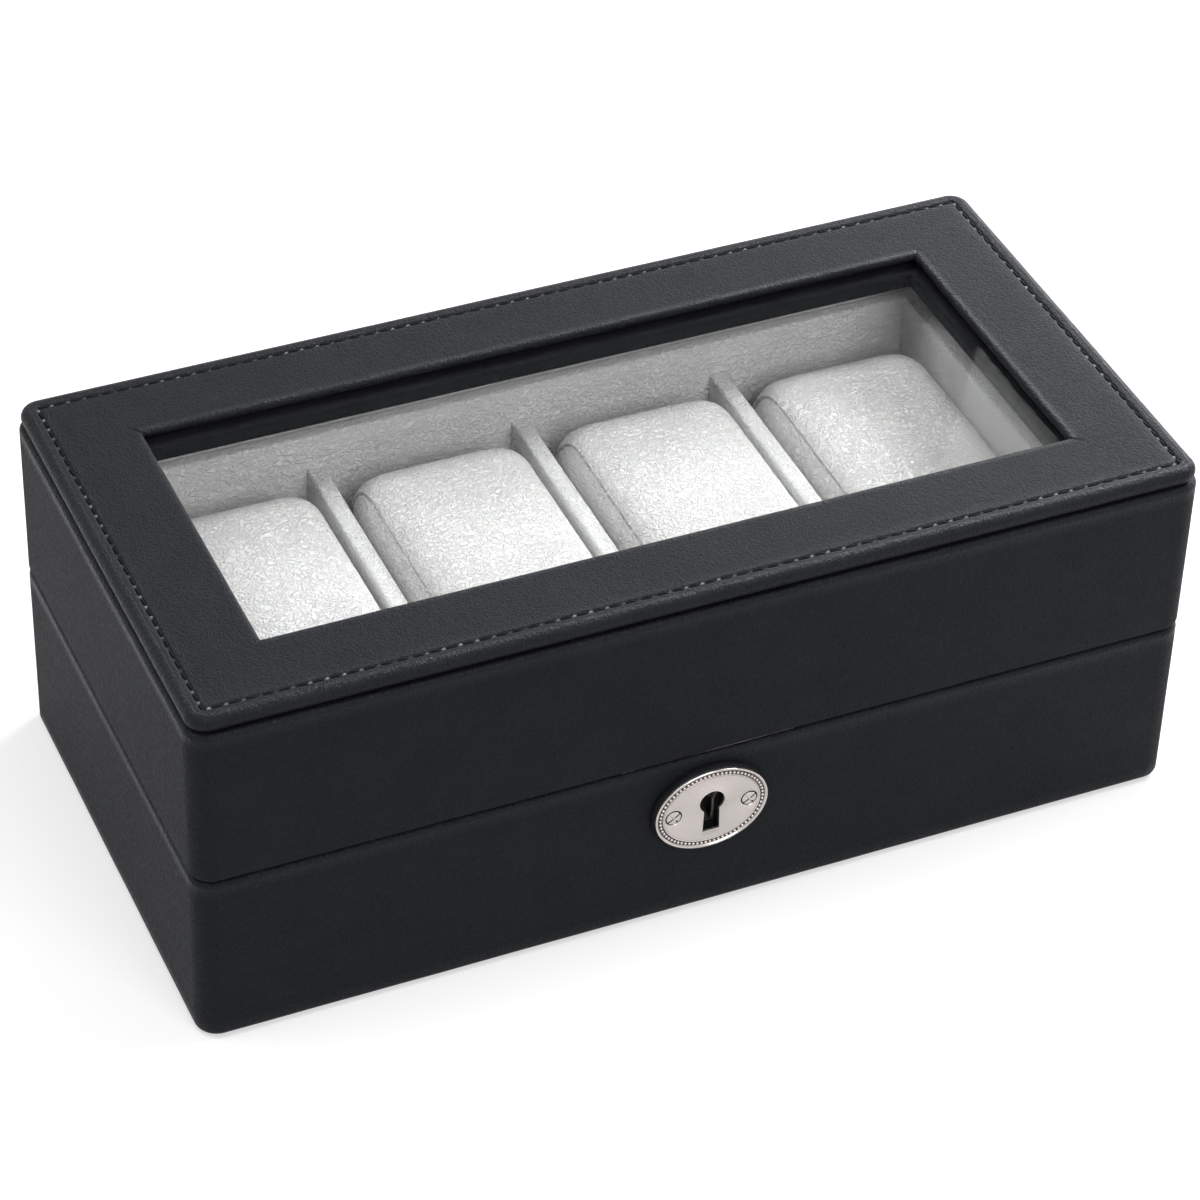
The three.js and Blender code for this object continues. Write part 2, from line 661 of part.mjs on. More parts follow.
// Top panel: a board frame in leatherette, full round at the outside, rolled over the lip of the window
const panelBead = topPanel / 2;
const lipBead = windowLip / 2;
addPiece(lid, 'top_panel', ringOf([
  ...quarterRound(caseOutline, topPanelInset + panelBead, topPanelFoot + panelBead, panelBead, -quarter),
  ...quarterRound(caseOutline, topPanelInset + panelBead, topPanelFoot + panelBead, panelBead, 0).slice(1),
  ...quarterRound(windowOutline, -lipBead, caseHeight - lipBead, lipBead, quarter),
  ...quarterRound(windowOutline, -lipBead, caseHeight - lipBead, lipBead, halfTurn).slice(1),
  [windowOutline, -glassLap - glueLine, caseHeight - windowLip],
  [windowOutline, -glassLap - glueLine, topPanelFoot],
]), leatherette);

addPiece(lid, 'glass_pane', panelOf(windowOutline, -glassLap, glassFoot, glassTop), glass);

// Frame under the glass, with rounded edges towards the window
const frameOutside = innerFrameReveal - innerFrame;
const frameEdgeInset = innerFrameReveal - innerFrameEdge;
addPiece(lid, 'window_inner_frame', ringOf([
  [windowOutline, frameOutside, frameFoot],
  [windowOutline, frameOutside, lidTop],
  ...quarterRound(windowOutline, frameEdgeInset, lidTop - innerFrameEdge, innerFrameEdge, quarter),
  ...quarterRound(windowOutline, frameEdgeInset, frameFoot + innerFrameEdge, innerFrameEdge, halfTurn),
]), leatherette);

// Lining: one strip round the walls, and a card under the top panel round the inner frame
const cardFoot = lidTop - ceilingCard;
const wallLining = (inset, z) => [lidInside, inset, z];
addPiece(lid, 'lid_wall_lining', ringOf([
  wallLining(0, lidBoardFoot),
  wallLining(0, cardFoot - glueLine),
  wallLining(liningSheet, cardFoot - glueLine),
  wallLining(liningSheet, lidBoardFoot),
]), suede);
addPiece(lid, 'lid_ceiling_card', ringOf([
  wallLining(0, cardFoot),
  wallLining(0, lidTop),
  [windowOutline, frameOutside - glueLine, lidTop],
  [windowOutline, frameOutside - glueLine, cardFoot],
]), suede);

// Hinge leaf: a plate with its knuckles, bored for the pin. Up is 1 for the lid's leaf, -1 for the base's.
const knuckleLength = (leafLength - (knuckles - 1) * knuckleGap) / knuckles;

function hingeLeaf(up, firstKnuckle) {
  const near = (up * lidGap) / 2;
  const far = near + up * leafThickness;
  const low = Math.min(near, far);
  const high = Math.max(near, far);
  const plateEdge = -barrelRadius - fit;
  const parts = [block([-leafLength / 2, -leafReach, low], [leafLength / 2, plateEdge, high])];
  for (let knuckle = firstKnuckle; knuckle < knuckles; knuckle += 2) {
    const start = -leafLength / 2 + knuckle * (knuckleLength + knuckleGap);
    const barrel = barAlongX(barrelRadius, knuckleLength, barrelSteps);
    parts.push(barrel.translate(start + knuckleLength / 2, 0, 0));
    parts.push(block([start, plateEdge - leafThickness, low], [start + knuckleLength, 0, high]));
  }
  const bore = barAlongX(pinRadius + pinClearance, leafLength + cutOverrun, barrelSteps);
  const seats = [-hingeScrewSpread, hingeScrewSpread].map((x) => {
    const seat = up > 0 ? screwSeat(hingeScrew).rotateX(halfTurn) : screwSeat(hingeScrew);
    return seat.translate(x, -leafMiddle, near);
  });
  return cut(join(...parts), bore, ...seats);
}

function hingePin() {
  const end = leafLength / 2 + glueLine;
  const profile = [
    [0, -end - pinHead],
    [pinHeadRadius, -end - pinHead],
    [pinHeadRadius, -end],
    [pinRadius, -end],
    [pinRadius, end],
    [pinHeadRadius, end],
    [pinHeadRadius, end + pinHead],
    [0, end + pinHead],
  ];
  const outline = profile.map(([r, along]) => new THREE.Vector2(r, along));
  return new THREE.LatheGeometry(outline, pinSteps).rotateZ(quarter);
}

[['left', -1], ['right', 1]].forEach(([side, sign]) => {
  const place = [sign * hingePlace, hingeY, hingeZ];
  addPiece(base, `hinge_${side}_base_leaf`, hingeLeaf(-1, 0), steel).position.set(...place);
  addPiece(base, `hinge_${side}_pin`, hingePin(), steel).position.set(...place);
  addPiece(lid, `hinge_${side}_lid_leaf`, hingeLeaf(1, 1), steel).position.set(...place);
});
[[base, 'base', -1], [lid, 'lid', 1]].forEach(([group, word, up]) => {
  hingeScrewPlaces(up).forEach((place, at) => {
    const side = at < 2 ? 'left' : 'right';
    const screw = up > 0 ? screwOf(hingeScrew).rotateX(halfTurn) : screwOf(hingeScrew);
    addPiece(group, `hinge_${side}_${word}_screw_${(at % 2) + 1}`, screw, steel).position.set(...place);
  });
});

// Lock case: a shallow tray of sheet with the keyhole in its front, its selvage in the rim and two bolt lugs
const boltFront = hookPlane + hookSheet / 2;
const boltRear = hookPlane - hookSheet / 2;
const coverFront = lockRear + lockSheet;
const gapRight = keyPostRadius + talonPlay;
const gapLeft = -boltTravel - gapRight;
const lugPlaces = [
  gapLeft - talonProng - fit - guideLug / 2,
  gapRight + talonProng + boltTravel + fit + guideLug / 2,
];

const lockTray = cut(
  join(
    block([-lockHalf, -lockFront, lockFoot], [lockHalf, -coverFront - glueLine, selvageFoot + glueLine]),
    block([-selvageHalf, -lockFront, selvageFoot], [selvageHalf, -lockRear, rimHeight]),
  ),
  block(
    [lockSheet - lockHalf, -lockFront + lockSheet, lockFoot + lockSheet],
    [lockHalf - lockSheet, -coverFront + cutOverrun, selvageFoot - glueLine],
  ),
);
const hookSlots = [-1, 1].map((sign) => block(
  [sign * hookSpread - hookWidth / 2 - fit, -boltFront - fit - hookSway, selvageFoot - cutOverrun],
  [sign * hookSpread + hookWidth / 2 + fit, -boltRear + fit, rimHeight + cutOverrun],
));
const lugs = lugPlaces.map((x) => block(
  [x - guideLug / 2, -lockFront + lockSheet / 2, barFoot - fit - lockSheet],
  [x + guideLug / 2, -boltRear, barFoot - fit],
));
addPiece(lock, 'lock_case', cut(
  join(lockTray, ...lugs),
  keyholeTool(0, -lockFront + cutOverrun / 2, cutOverrun),
  ...hookSlots,
  ...lockScrewSeats,
  ...plateScrewSeats,
), steel);
addPiece(lock, 'lock_cover', block(
  [-lockHalf, -coverFront, lockFoot],
  [lockHalf, -lockRear, selvageFoot - glueLine],
), steel);

// Key post: stands on the cover, on the keyhole's axis, and stops short of the front
const postLength = lockFront - lockSheet - fit - coverFront - glueLine;
const postY = coverFront + glueLine + postLength / 2;
const post = new THREE.CylinderGeometry(keyPostRadius, keyPostRadius, postLength, screwSteps);
addPiece(lock, 'lock_key_post', post, steel).position.set(0, -postY, keyAxisZ);

// Bolt: drawn withdrawn. Two arms carry fingers that slide into the hooks; two prongs take the key.
const notchFoot = hookFoot + hookLip;
const fingerFoot = notchFoot + (hookNotch - boltFinger) / 2;
const fingerTop = fingerFoot + boltFinger;
const fingerLength = boltTravel + fit;

function boltOutline() {
  const shape = new THREE.Shape();
  const tips = [-1, 1].map((sign) => sign * hookSpread - hookWidth / 2 - fit);
  const start = tips[0] - fingerLength - boltArm;
  shape.moveTo(start, barFoot);
  shape.lineTo(gapLeft - talonProng, barFoot);
  shape.lineTo(gapLeft - talonProng, barFoot - talonDrop);
  shape.lineTo(gapLeft, barFoot - talonDrop);
  shape.lineTo(gapLeft, barFoot);
  shape.lineTo(gapRight, barFoot);
  shape.lineTo(gapRight, barFoot - talonDrop);
  shape.lineTo(gapRight + talonProng, barFoot - talonDrop);
  shape.lineTo(gapRight + talonProng, barFoot);
  shape.lineTo(boltTail, barFoot);
  shape.lineTo(boltTail, barTop);
  tips.reverse().forEach((tip) => {
    const inner = tip - fingerLength;
    shape.lineTo(inner, barTop);
    shape.lineTo(inner, fingerFoot);
    shape.lineTo(tip, fingerFoot);
    shape.lineTo(tip, fingerTop);
    shape.lineTo(inner - boltArm, fingerTop);
    shape.lineTo(inner - boltArm, barTop);
  });
  return shape;
}
addPiece(lock, 'lock_bolt', frontPlate(boltOutline(), -boltRear, hookSheet, 1), steel);

// Spring: a bent strip from the foot of the case that bears on the bolt's bar from below
const springStart = new THREE.Vector2(fit + lockSheet - lockHalf, lockFoot + lockSheet + fit);
const springEnd = new THREE.Vector2(lugPlaces[0] - guideLug / 2 - fit - springSheet, barFoot - fit);
const springBend = new THREE.Vector2(springStart.x + springFoot, springEnd.y);
const springCurve = new THREE.QuadraticBezierCurve(springStart, springBend, springEnd);
const springLine = springCurve.getPoints(screwSteps);
const springThick = new THREE.Vector2(springSheet, -springSheet);
const springBack = springLine.map((point) => point.clone().add(springThick)).reverse();
const springShape = new THREE.Shape([...springLine, ...springBack]);
addPiece(lock, 'lock_spring', frontPlate(springShape, -boltRear, hookSheet, 1), steel);

[['left', -1], ['right', 1]].forEach(([side, sign]) => {
  const screw = addPiece(lock, `lock_screw_${side}`, screwOf(lockScrew), steel);
  screw.position.set(sign * lockScrewSpread, lockScrewY, rimHeight);
});

// Strike plate: lies in the lid's edge and carries two hooks, each open towards the bolt's fingers
function hookOutline(middle) {
  const left = middle - hookWidth / 2;
  const right = middle + hookWidth / 2;
  const notchEnd = right - hookBack;
  const shape = new THREE.Shape();
  shape.moveTo(left, hookFoot);
  shape.lineTo(right, hookFoot);
  shape.lineTo(right, lidFoot + strikeThickness / 2);
  shape.lineTo(left, lidFoot + strikeThickness / 2);
  shape.lineTo(left, notchFoot + hookNotch);
  shape.lineTo(notchEnd, notchFoot + hookNotch);
  shape.lineTo(notchEnd, notchFoot);
  shape.lineTo(left, notchFoot);
  return shape;
}
const hooks = [-1, 1].map((sign) => frontPlate(hookOutline(sign * hookSpread), -boltRear, hookSheet, 1));
const strike = block(
  [-strikeHalf, -strikeFront, lidFoot],
  [strikeHalf, -strikeRear, lidFoot + strikeThickness],
);
addPiece(lid, 'strike_plate', cut(join(strike, ...hooks), ...strikeScrewSeats), steel);
[['left', -1], ['right', 1]].forEach(([side, sign]) => {
  const screw = addPiece(lid, `strike_screw_${side}`, screwOf(strikeScrew).rotateX(halfTurn), steel);
  screw.position.set(sign * strikeScrewSpread, strikeScrewY, lidFoot);
});

// Lock plate: an oval with a raised rim, a row of beads inside it and the keyhole, on an oval leatherette pad
function oval(extra) {
  const reachX = plateLength / 2 + extra;
  const reachZ = plateHeight / 2 + extra;
  return new THREE.Shape().absellipse(0, 0, reachX, reachZ, 0, halfTurn * 2, false);
}

function ovalPlate(shape, backY, thickness) {
  return frontPlate(shape, -backY, thickness, ovalSteps).translate(0, 0, plateCentre);
}

function beads() {
  const inset = plateRimWidth + beadRadius;
  const line = new THREE.EllipseCurve(0, 0, plateLength / 2 - inset, plateHeight / 2 - inset);
  const count = Math.round(line.getLength() / beadPitch);
  return line.getSpacedPoints(count).slice(1).map((point) => {
    const bead = new THREE.OctahedronGeometry(1, 0).scale(beadRadius, plateRimHeight, beadRadius);
    return bead.translate(point.x, -plateFace, plateCentre + point.y);
  });
}

const plateRim = cut(
  ovalPlate(oval(0), plateBack, plateThickness + plateRimHeight),
  ovalPlate(oval(-plateRimWidth), plateFace, cutOverrun),
);
addPiece(lock, 'lock_plate', cut(
  join(plateRim, ...beads()),
  keyholeTool(0, -plateBack + cutOverrun / 2, cutOverrun * 2),
  ...plateScrewSeats,
), nickel);
addPiece(lock, 'lock_plate_pad', cut(
  ovalPlate(oval(padOverhang), halfDepth + glueLine, padThickness),
  keyholeTool(fit, -halfDepth + cutOverrun, cutOverrun * 3),
  ...plateScrewSeats,
), leatherette);
[['left', -1], ['right', 1]].forEach(([side, sign]) => {
  addPiece(lock, `lock_plate_screw_${side}`, atPlateScrew(screwOf(plateScrew), sign), nickel);
});

// The origin stays under the middle of the whole, from the lock plate's rim to the hinge barrels
whole.position.y = (frontReach - rearReach) / 2;

export default whole;
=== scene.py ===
# %% [markdown]
# # A watch display case
#
# The case holds four watches. It is a low box in two halves, made of thin boards and wrapped in dark
# leatherette, with a window in the lid, an oval lock plate in front, and suede cushions in a lined tray.
#
# The construction comes in as a frame: every board, hinge leaf and lock part at its real size and place.
# This lesson leaves those where they are and gives them finishes. It then makes what the trade adds last,
# which a board maker's drawing doesn't show: the rolled and stitched leatherette, the padded cushions, the
# napped lining and the beaded plate. Loading comes first, so that every later size can be read from it.

# %% Load the frame
import json
import math
from collections import namedtuple

import bmesh
import bpy
import numpy as np
from mathutils import Matrix, Quaternion, Vector, noise
from mathutils.kdtree import KDTree


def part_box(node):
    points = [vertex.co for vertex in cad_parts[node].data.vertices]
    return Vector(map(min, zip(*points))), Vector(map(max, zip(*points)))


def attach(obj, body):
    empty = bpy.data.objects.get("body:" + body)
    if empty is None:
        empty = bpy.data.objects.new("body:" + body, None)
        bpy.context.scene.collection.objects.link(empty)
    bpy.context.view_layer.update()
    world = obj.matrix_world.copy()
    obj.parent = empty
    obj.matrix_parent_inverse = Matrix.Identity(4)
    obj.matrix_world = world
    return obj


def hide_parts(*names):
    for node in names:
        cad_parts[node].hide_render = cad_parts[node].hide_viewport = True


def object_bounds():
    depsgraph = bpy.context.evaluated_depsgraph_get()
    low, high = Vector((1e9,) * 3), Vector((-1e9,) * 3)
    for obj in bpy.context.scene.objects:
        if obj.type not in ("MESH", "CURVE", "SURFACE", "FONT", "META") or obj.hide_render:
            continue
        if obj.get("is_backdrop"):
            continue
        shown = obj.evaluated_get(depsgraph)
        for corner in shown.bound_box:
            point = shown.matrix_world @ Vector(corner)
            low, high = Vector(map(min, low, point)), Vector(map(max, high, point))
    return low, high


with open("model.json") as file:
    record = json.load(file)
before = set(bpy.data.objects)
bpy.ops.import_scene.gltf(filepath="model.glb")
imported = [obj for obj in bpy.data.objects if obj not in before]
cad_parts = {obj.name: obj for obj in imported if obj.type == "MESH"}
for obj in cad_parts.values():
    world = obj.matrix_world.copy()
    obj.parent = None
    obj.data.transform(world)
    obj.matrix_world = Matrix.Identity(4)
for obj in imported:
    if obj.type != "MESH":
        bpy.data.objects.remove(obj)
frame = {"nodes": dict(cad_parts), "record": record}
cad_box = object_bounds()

mm = 0.001
scene = bpy.context.scene
nodes = frame["nodes"]
quarter_turn = math.pi / 2
full_turn = 2 * math.pi
size = (cad_box[1] - cad_box[0]) / mm
print(f"{len(nodes)} parts, {size.x:.1f} by {size.y:.1f} by {size.z:.1f} mm")

# %% [markdown]
# ## Camera
#
# The case is seen from its left front corner and from above, through a long lens, so that its edges stay
# almost parallel. A camera could be aimed with a constraint, but a place and three angles are enough, and
# they say plainly how the picture was taken. The small roll tilts the picture as a hand-held camera does.

# %% Camera
camera_place = Vector((-0.3637, -0.7927, 0.7580))
camera_azimuth = math.radians(-24.618)
camera_elevation = math.radians(39.102)
camera_roll = math.radians(1.979)
lens = 129.64
sensor = 36


def new_object(name, data):
    made = bpy.data.objects.new(name, data)
    scene.collection.objects.link(made)
    return made


camera = new_object("camera", bpy.data.cameras.new("camera"))
scene.camera = camera
camera.data.lens = lens
camera.data.sensor_width = sensor
level = math.cos(camera_elevation)
look = Vector((
    -math.sin(camera_azimuth) * level,
    math.cos(camera_azimuth) * level,
    -math.sin(camera_elevation),
))
camera.rotation_mode = "QUATERNION"
camera.rotation_quaternion = look.to_track_quat("-Z", "Y") @ Quaternion((0, 0, 1), camera_roll)
camera.location = camera_place
print(f"camera {camera_place.length:.2f} m from the case, {lens} mm lens")

# %% [markdown]
# ## Helpers for finishes
#
# Every finish is built from nodes, so that grain and nap have their real size on every piece. Textures
# read object coordinates: each object stands at the frame's origin, so one metre of texture is one metre of
# case, and no piece has to be unwrapped. Small helpers keep the finishes short: they add a node with its
# settings, read a number that a piece carries on its points, give a noise of a real pitch, spread a value
# over other values or colours, and turn a height into a bump of a real depth.

# %% Helpers for finishes
def new_finish(name):
    material = bpy.data.materials.new(name)
    material.use_nodes = True
    return material, material.node_tree, material.node_tree.nodes["Principled BSDF"]


def set_inputs(tree, node, inputs):
    for name, value in inputs.items():
        if isinstance(value, bpy.types.NodeSocket):
            tree.links.new(value, node.inputs[name])
        else:
            node.inputs[name].default_value = value


def add_node(tree, kind, inputs=None, **settings):
    node = tree.nodes.new(kind)
    for name, value in settings.items():
        setattr(node, name, value)
    set_inputs(tree, node, inputs or {})
    return node


def carried(tree, name):
    return add_node(tree, "ShaderNodeAttribute", attribute_name=name).outputs["Fac"]


def maths(tree, operation, first, second):
    return add_node(tree, "ShaderNodeMath", {0: first, 1: second}, operation=operation).outputs[0]


def vector_maths(tree, operation, first, second):
    return add_node(tree, "ShaderNodeVectorMath", {0: first, 1: second}, operation=operation).outputs[0]


def in_millimetres(tree, vector, stretch=(1, 1, 1)):
    return vector_maths(tree, "MULTIPLY", vector, [share / mm for share in stretch])


def case_coordinates(tree, stretch=(1, 1, 1)):
    return in_millimetres(tree, add_node(tree, "ShaderNodeTexCoord").outputs["Object"], stretch)


def noise_of(tree, coordinates, pitch, detail=2, distortion=0):
    inputs = {"Vector": coordinates, "Scale": mm / pitch, "Detail": detail, "Distortion": distortion}
    return add_node(tree, "ShaderNodeTexNoise", inputs).outputs["Fac"]


def ramp_of(tree, value, stops):
    ramp = add_node(tree, "ShaderNodeValToRGB", {"Fac": value})
    elements = ramp.color_ramp.elements
    while len(elements) < len(stops):
        elements.new(0.5)
    for element, (place, colour) in zip(elements, stops):
        element.position = place
        element.color = (*colour, 1)
    return ramp.outputs["Color"]


def range_of(tree, value, low, high, from_low=0, from_high=1):
    inputs = {"Value": value, "From Min": from_low, "From Max": from_high, "To Min": low, "To Max": high}
    return add_node(tree, "ShaderNodeMapRange", inputs).outputs["Result"]


def bump_of(tree, height, depth, under=None):
    inputs = {"Height": height, "Distance": depth}
    if under is not None:
        inputs["Normal"] = under
    return add_node(tree, "ShaderNodeBump", inputs).outputs["Normal"]


print("helpers for finishes ready")

# %% [markdown]
# ## Leatherette
#
# Leatherette is a thin plastic skin on cloth, embossed with a fine pebbled grain that runs slightly across
# the case. Where it is pulled round an edge the grain closes up into short cross wrinkles, and these catch
# the light. An image would blur that close up. Here a distorted noise stretched across the case gives the
# grain, a finer one the pores, and the pieces carry numbers on every point: how far along the edge it lies
# and how strongly the skin is rolled there. These drive the wrinkles, only where there are any, and the
# crests of the wrinkles are painted a little paler, partly as wear and partly as painted sheen. One more
# number marks where thread pulls the skin tight, and there a pale tick is painted on as a painted glint. A
# roll below zero makes skin matt.

# %% Leatherette
grain_pitch = 0.64 * mm
grain_depth = 0.16 * mm
pore_pitch = 0.28 * mm
pore_depth = 0.012 * mm
wrinkle_pitch = 0.62 * mm
wrinkle_length_share = 0.22
wrinkle_depth = 0.2 * mm
mottle_pitch = 14 * mm
grain_stretch = (1, 0.6, 0.6)
grain_slopes = (0.38, 0.62)
skin_roughness = (0.6, 0.76)
rolled_gloss = 0.28
middle_tones = (0.3, 0.7)
wear_and_sheen_range = (0.35, 0.75)
wear_and_sheen_share = 0.7
skin_specular = 0.155
cool_tint = (0.72, 0.82, 1, 1)
black = (0, 0, 0)
skin_dark = (0.0052, 0.0052, 0.0056)
skin_light = (0.0078, 0.0078, 0.0084)
# Pale colour on the crests of wrinkles in rolled skin: partly wear, partly painted sheen.
skin_wear_and_sheen = (0.003, 0.0031, 0.0035)
# Pale ticks painted beside each stitch, as a painted glint.
skin_painted_glint = (0.34, 0.34, 0.355)


def two_tones(tree, value, dark, light, spread=middle_tones):
    return ramp_of(tree, value, [(spread[0], dark), (spread[1], light)])


def leatherette_finish():
    material, tree, surface = new_finish("leatherette")
    across = case_coordinates(tree, grain_stretch)
    grain = noise_of(tree, across, grain_pitch, detail=3, distortion=1.2)
    pores = noise_of(tree, case_coordinates(tree), pore_pitch, detail=1)
    mottle = noise_of(tree, case_coordinates(tree), mottle_pitch, detail=4)
    roll = carried(tree, "roll")
    along_edge = {"X": carried(tree, "run"), "Y": carried(tree, "girth")}
    edge_place = add_node(tree, "ShaderNodeCombineXYZ", along_edge).outputs[0]
    short = in_millimetres(tree, edge_place, (1, wrinkle_length_share, 1))
    wrinkle = noise_of(tree, short, wrinkle_pitch, detail=2, distortion=0.4)
    rolled_wrinkle = maths(tree, "MULTIPLY", wrinkle, roll)
    normal = bump_of(tree, pores, pore_depth)
    normal = bump_of(tree, range_of(tree, grain, 0, 1, *grain_slopes), grain_depth, normal)
    normal = bump_of(tree, rolled_wrinkle, wrinkle_depth, normal)
    # Crests of wrinkles on rolled edges are painted paler, partly as wear and partly as painted sheen.
    wear_and_sheen = range_of(tree, rolled_wrinkle, 0, wear_and_sheen_share, *wear_and_sheen_range)
    wear_and_sheen_tone = ramp_of(tree, wear_and_sheen, [(0, black), (1, skin_wear_and_sheen)])
    # Painted glint: pale ticks on the skin where each stitch comes out of the groove.
    painted_glint = ramp_of(tree, carried(tree, "painted_glint"), [(0, black), (1, skin_painted_glint)])
    plain = two_tones(tree, mottle, skin_dark, skin_light)
    flat_roughness = range_of(tree, grain, *skin_roughness, *middle_tones)
    set_inputs(tree, surface, {
        "Base Color": vector_maths(tree, "ADD", plain, vector_maths(tree, "ADD", wear_and_sheen_tone, painted_glint)),
        "Roughness": maths(tree, "SUBTRACT", flat_roughness, maths(tree, "MULTIPLY", roll, rolled_gloss)),
        "Specular IOR Level": skin_specular,
        "Specular Tint": cool_tint,
        "Normal": normal,
    })
    return material


leatherette = leatherette_finish()
print(f"leatherette grain of {grain_pitch / mm:.2f} mm, wrinkles of {wrinkle_pitch / mm:.2f} mm")

# %% [markdown]
# ## Suede
#
# The cushions and the lining are microsuede: a short, dense nap that the hand brushes this way and that.
# The nap shows as soft crinkles about a millimetre across, in slightly different tones of one colour. Real
# fibres would be far too many for so small a relief, so two noises give the crinkles and a sheen gives the
# pale bloom that such cloth has where it is seen edge on. The cushions are near white. The lining is the
# same suede, painted paler still as painted light, to make up for the shade of the lid it stands in, and
# even so it looks grey.

# %% Suede
nap_pitch = 1.1 * mm
nap_depth = 0.5 * mm
fibre_pitch = 0.35 * mm
fibre_depth = 0.03 * mm
brushed_pitch = 9 * mm
nap_slopes = (0.4, 0.6)
nap_share = 0.6
nap_tones = (0.35, 0.65)
nap_roughness = (0.85, 1)


def suede_finish(name, dark, light, depth_share):
    material, tree, surface = new_finish(name)
    place = case_coordinates(tree)
    nap = noise_of(tree, place, nap_pitch, detail=4, distortion=0.9)
    fibres = noise_of(tree, place, fibre_pitch, detail=1)
    brushed = noise_of(tree, place, brushed_pitch, detail=2, distortion=0.6)
    crinkles = range_of(tree, nap, 0, 1, *nap_slopes)
    normal = bump_of(tree, fibres, fibre_depth)
    normal = bump_of(tree, crinkles, nap_depth * depth_share, normal)
    napped = maths(tree, "MULTIPLY", nap, nap_share)
    tone = maths(tree, "ADD", napped, maths(tree, "MULTIPLY", brushed, 1 - nap_share))
    set_inputs(tree, surface, {
        "Base Color": two_tones(tree, tone, dark, light, nap_tones),
        "Roughness": range_of(tree, fibres, *nap_roughness),
        "Specular IOR Level": 0.1,
        "Sheen Weight": 0.12,
        "Sheen Roughness": 0.5,
        "Normal": normal,
    })
    return material


cushion_suede = suede_finish("cushion suede", (0.8, 0.805, 0.795), (0.88, 0.88, 0.87), 1)
# Painted light: the lining is paler than the cushions, to make up for the shade of the lid.
lining_suede = suede_finish("lining suede", (0.87, 0.88, 0.87), (0.94, 0.945, 0.935), 0.8)
print(f"suede nap of {nap_pitch / mm:.1f} mm")

# %% [markdown]
# ## Metals
#
# The lock plate is plated in satin nickel, a warm grey that shows soft reflections. Its rim, its beads and
# the keyhole's edge stand proud, so handling polishes them. The same piece therefore carries a number on
# every point, from 0 on the satin field to 1 on what is polished, and it drives the roughness. In the
# channel between the beads, on the keyhole's inner wall and in the screw seats the number goes below 0,
# and there the plating is painted dark as painted shade.
# The hinges and the lock's inside are plain zinc plated steel, rolled in one direction, with fine lines.

# %% Metals
plating_pitch = 0.5 * mm
painted_shade_share = 0.12
rolling_pitch = 0.12 * mm
rolling_depth = 0.004 * mm
rolling_stretch = (0.06, 1, 1)
satin_roughness = (0.3, 0.38)
polish_gloss = 0.2
steel_roughness = (0.3, 0.46)


def nickel_finish():
    material, tree, surface = new_finish("satin nickel")
    polish_and_shade = carried(tree, "polish_and_shade")
    cloud = noise_of(tree, case_coordinates(tree), plating_pitch, detail=2)
    satin = range_of(tree, cloud, *satin_roughness)
    plating = two_tones(tree, cloud, (0.49, 0.45, 0.435), (0.53, 0.49, 0.47))
    # Painted shade: below 0 the number darkens the plating in the channel, the keyhole's wall and the screw
    # seats.
    painted_shade = range_of(tree, polish_and_shade, painted_shade_share, 1, -1, 0)
    set_inputs(tree, surface, {
        "Base Color": vector_maths(tree, "MULTIPLY", plating, painted_shade),
        "Roughness": maths(tree, "SUBTRACT", satin, maths(tree, "MULTIPLY", polish_and_shade, polish_gloss)),
        "Metallic": 1,
        "Normal": bump_of(tree, cloud, rolling_depth),
    })
    return material


def steel_finish():
    material, tree, surface = new_finish("zinc plated steel")
    lines = noise_of(tree, case_coordinates(tree, rolling_stretch), rolling_pitch, detail=2)
    cloud = noise_of(tree, case_coordinates(tree), mottle_pitch / 4, detail=3)
    set_inputs(tree, surface, {
        "Base Color": two_tones(tree, cloud, (0.38, 0.37, 0.35), (0.47, 0.455, 0.43)),
        "Roughness": range_of(tree, lines, *steel_roughness),
        "Metallic": 1,
        "Normal": bump_of(tree, lines, rolling_depth),
    })
    return material


nickel = nickel_finish()
steel = steel_finish()
print("nickel and steel ready")

# %% [markdown]
# ## Board, felt, thread and glass
#
# The boards are raw fibreboard, brown and slightly woolly. They show only in the cut openings for the lock
# and the hinges. The felt under the base is black wool, and the thread is a black, matt, twisted yarn.
# Window glass is almost invisible in such a case: it is coated against reflections, so it gets a low
# refractive index. Lamps have to light what lies behind it, so shadow and diffuse rays go straight through,
# which a mix with a transparent shader does. Without that mix, the tray would lie in the dark.

# %% Board, felt, thread and glass
board_pitch = 0.9 * mm
felt_pitch = 0.6 * mm
yarn_pitch = 0.3 * mm
wool_spread = 0.05
coated_index = 1.05


def matt_finish(name, dark, light, pitch, depth, roughness, gloss=0.2):
    material, tree, surface = new_finish(name)
    wool = noise_of(tree, case_coordinates(tree), pitch, detail=5, distortion=1.5)
    set_inputs(tree, surface, {
        "Base Color": two_tones(tree, wool, dark, light),
        "Roughness": range_of(tree, wool, roughness, roughness + wool_spread),
        "Specular IOR Level": gloss,
        "Normal": bump_of(tree, wool, depth),
    })
    return material


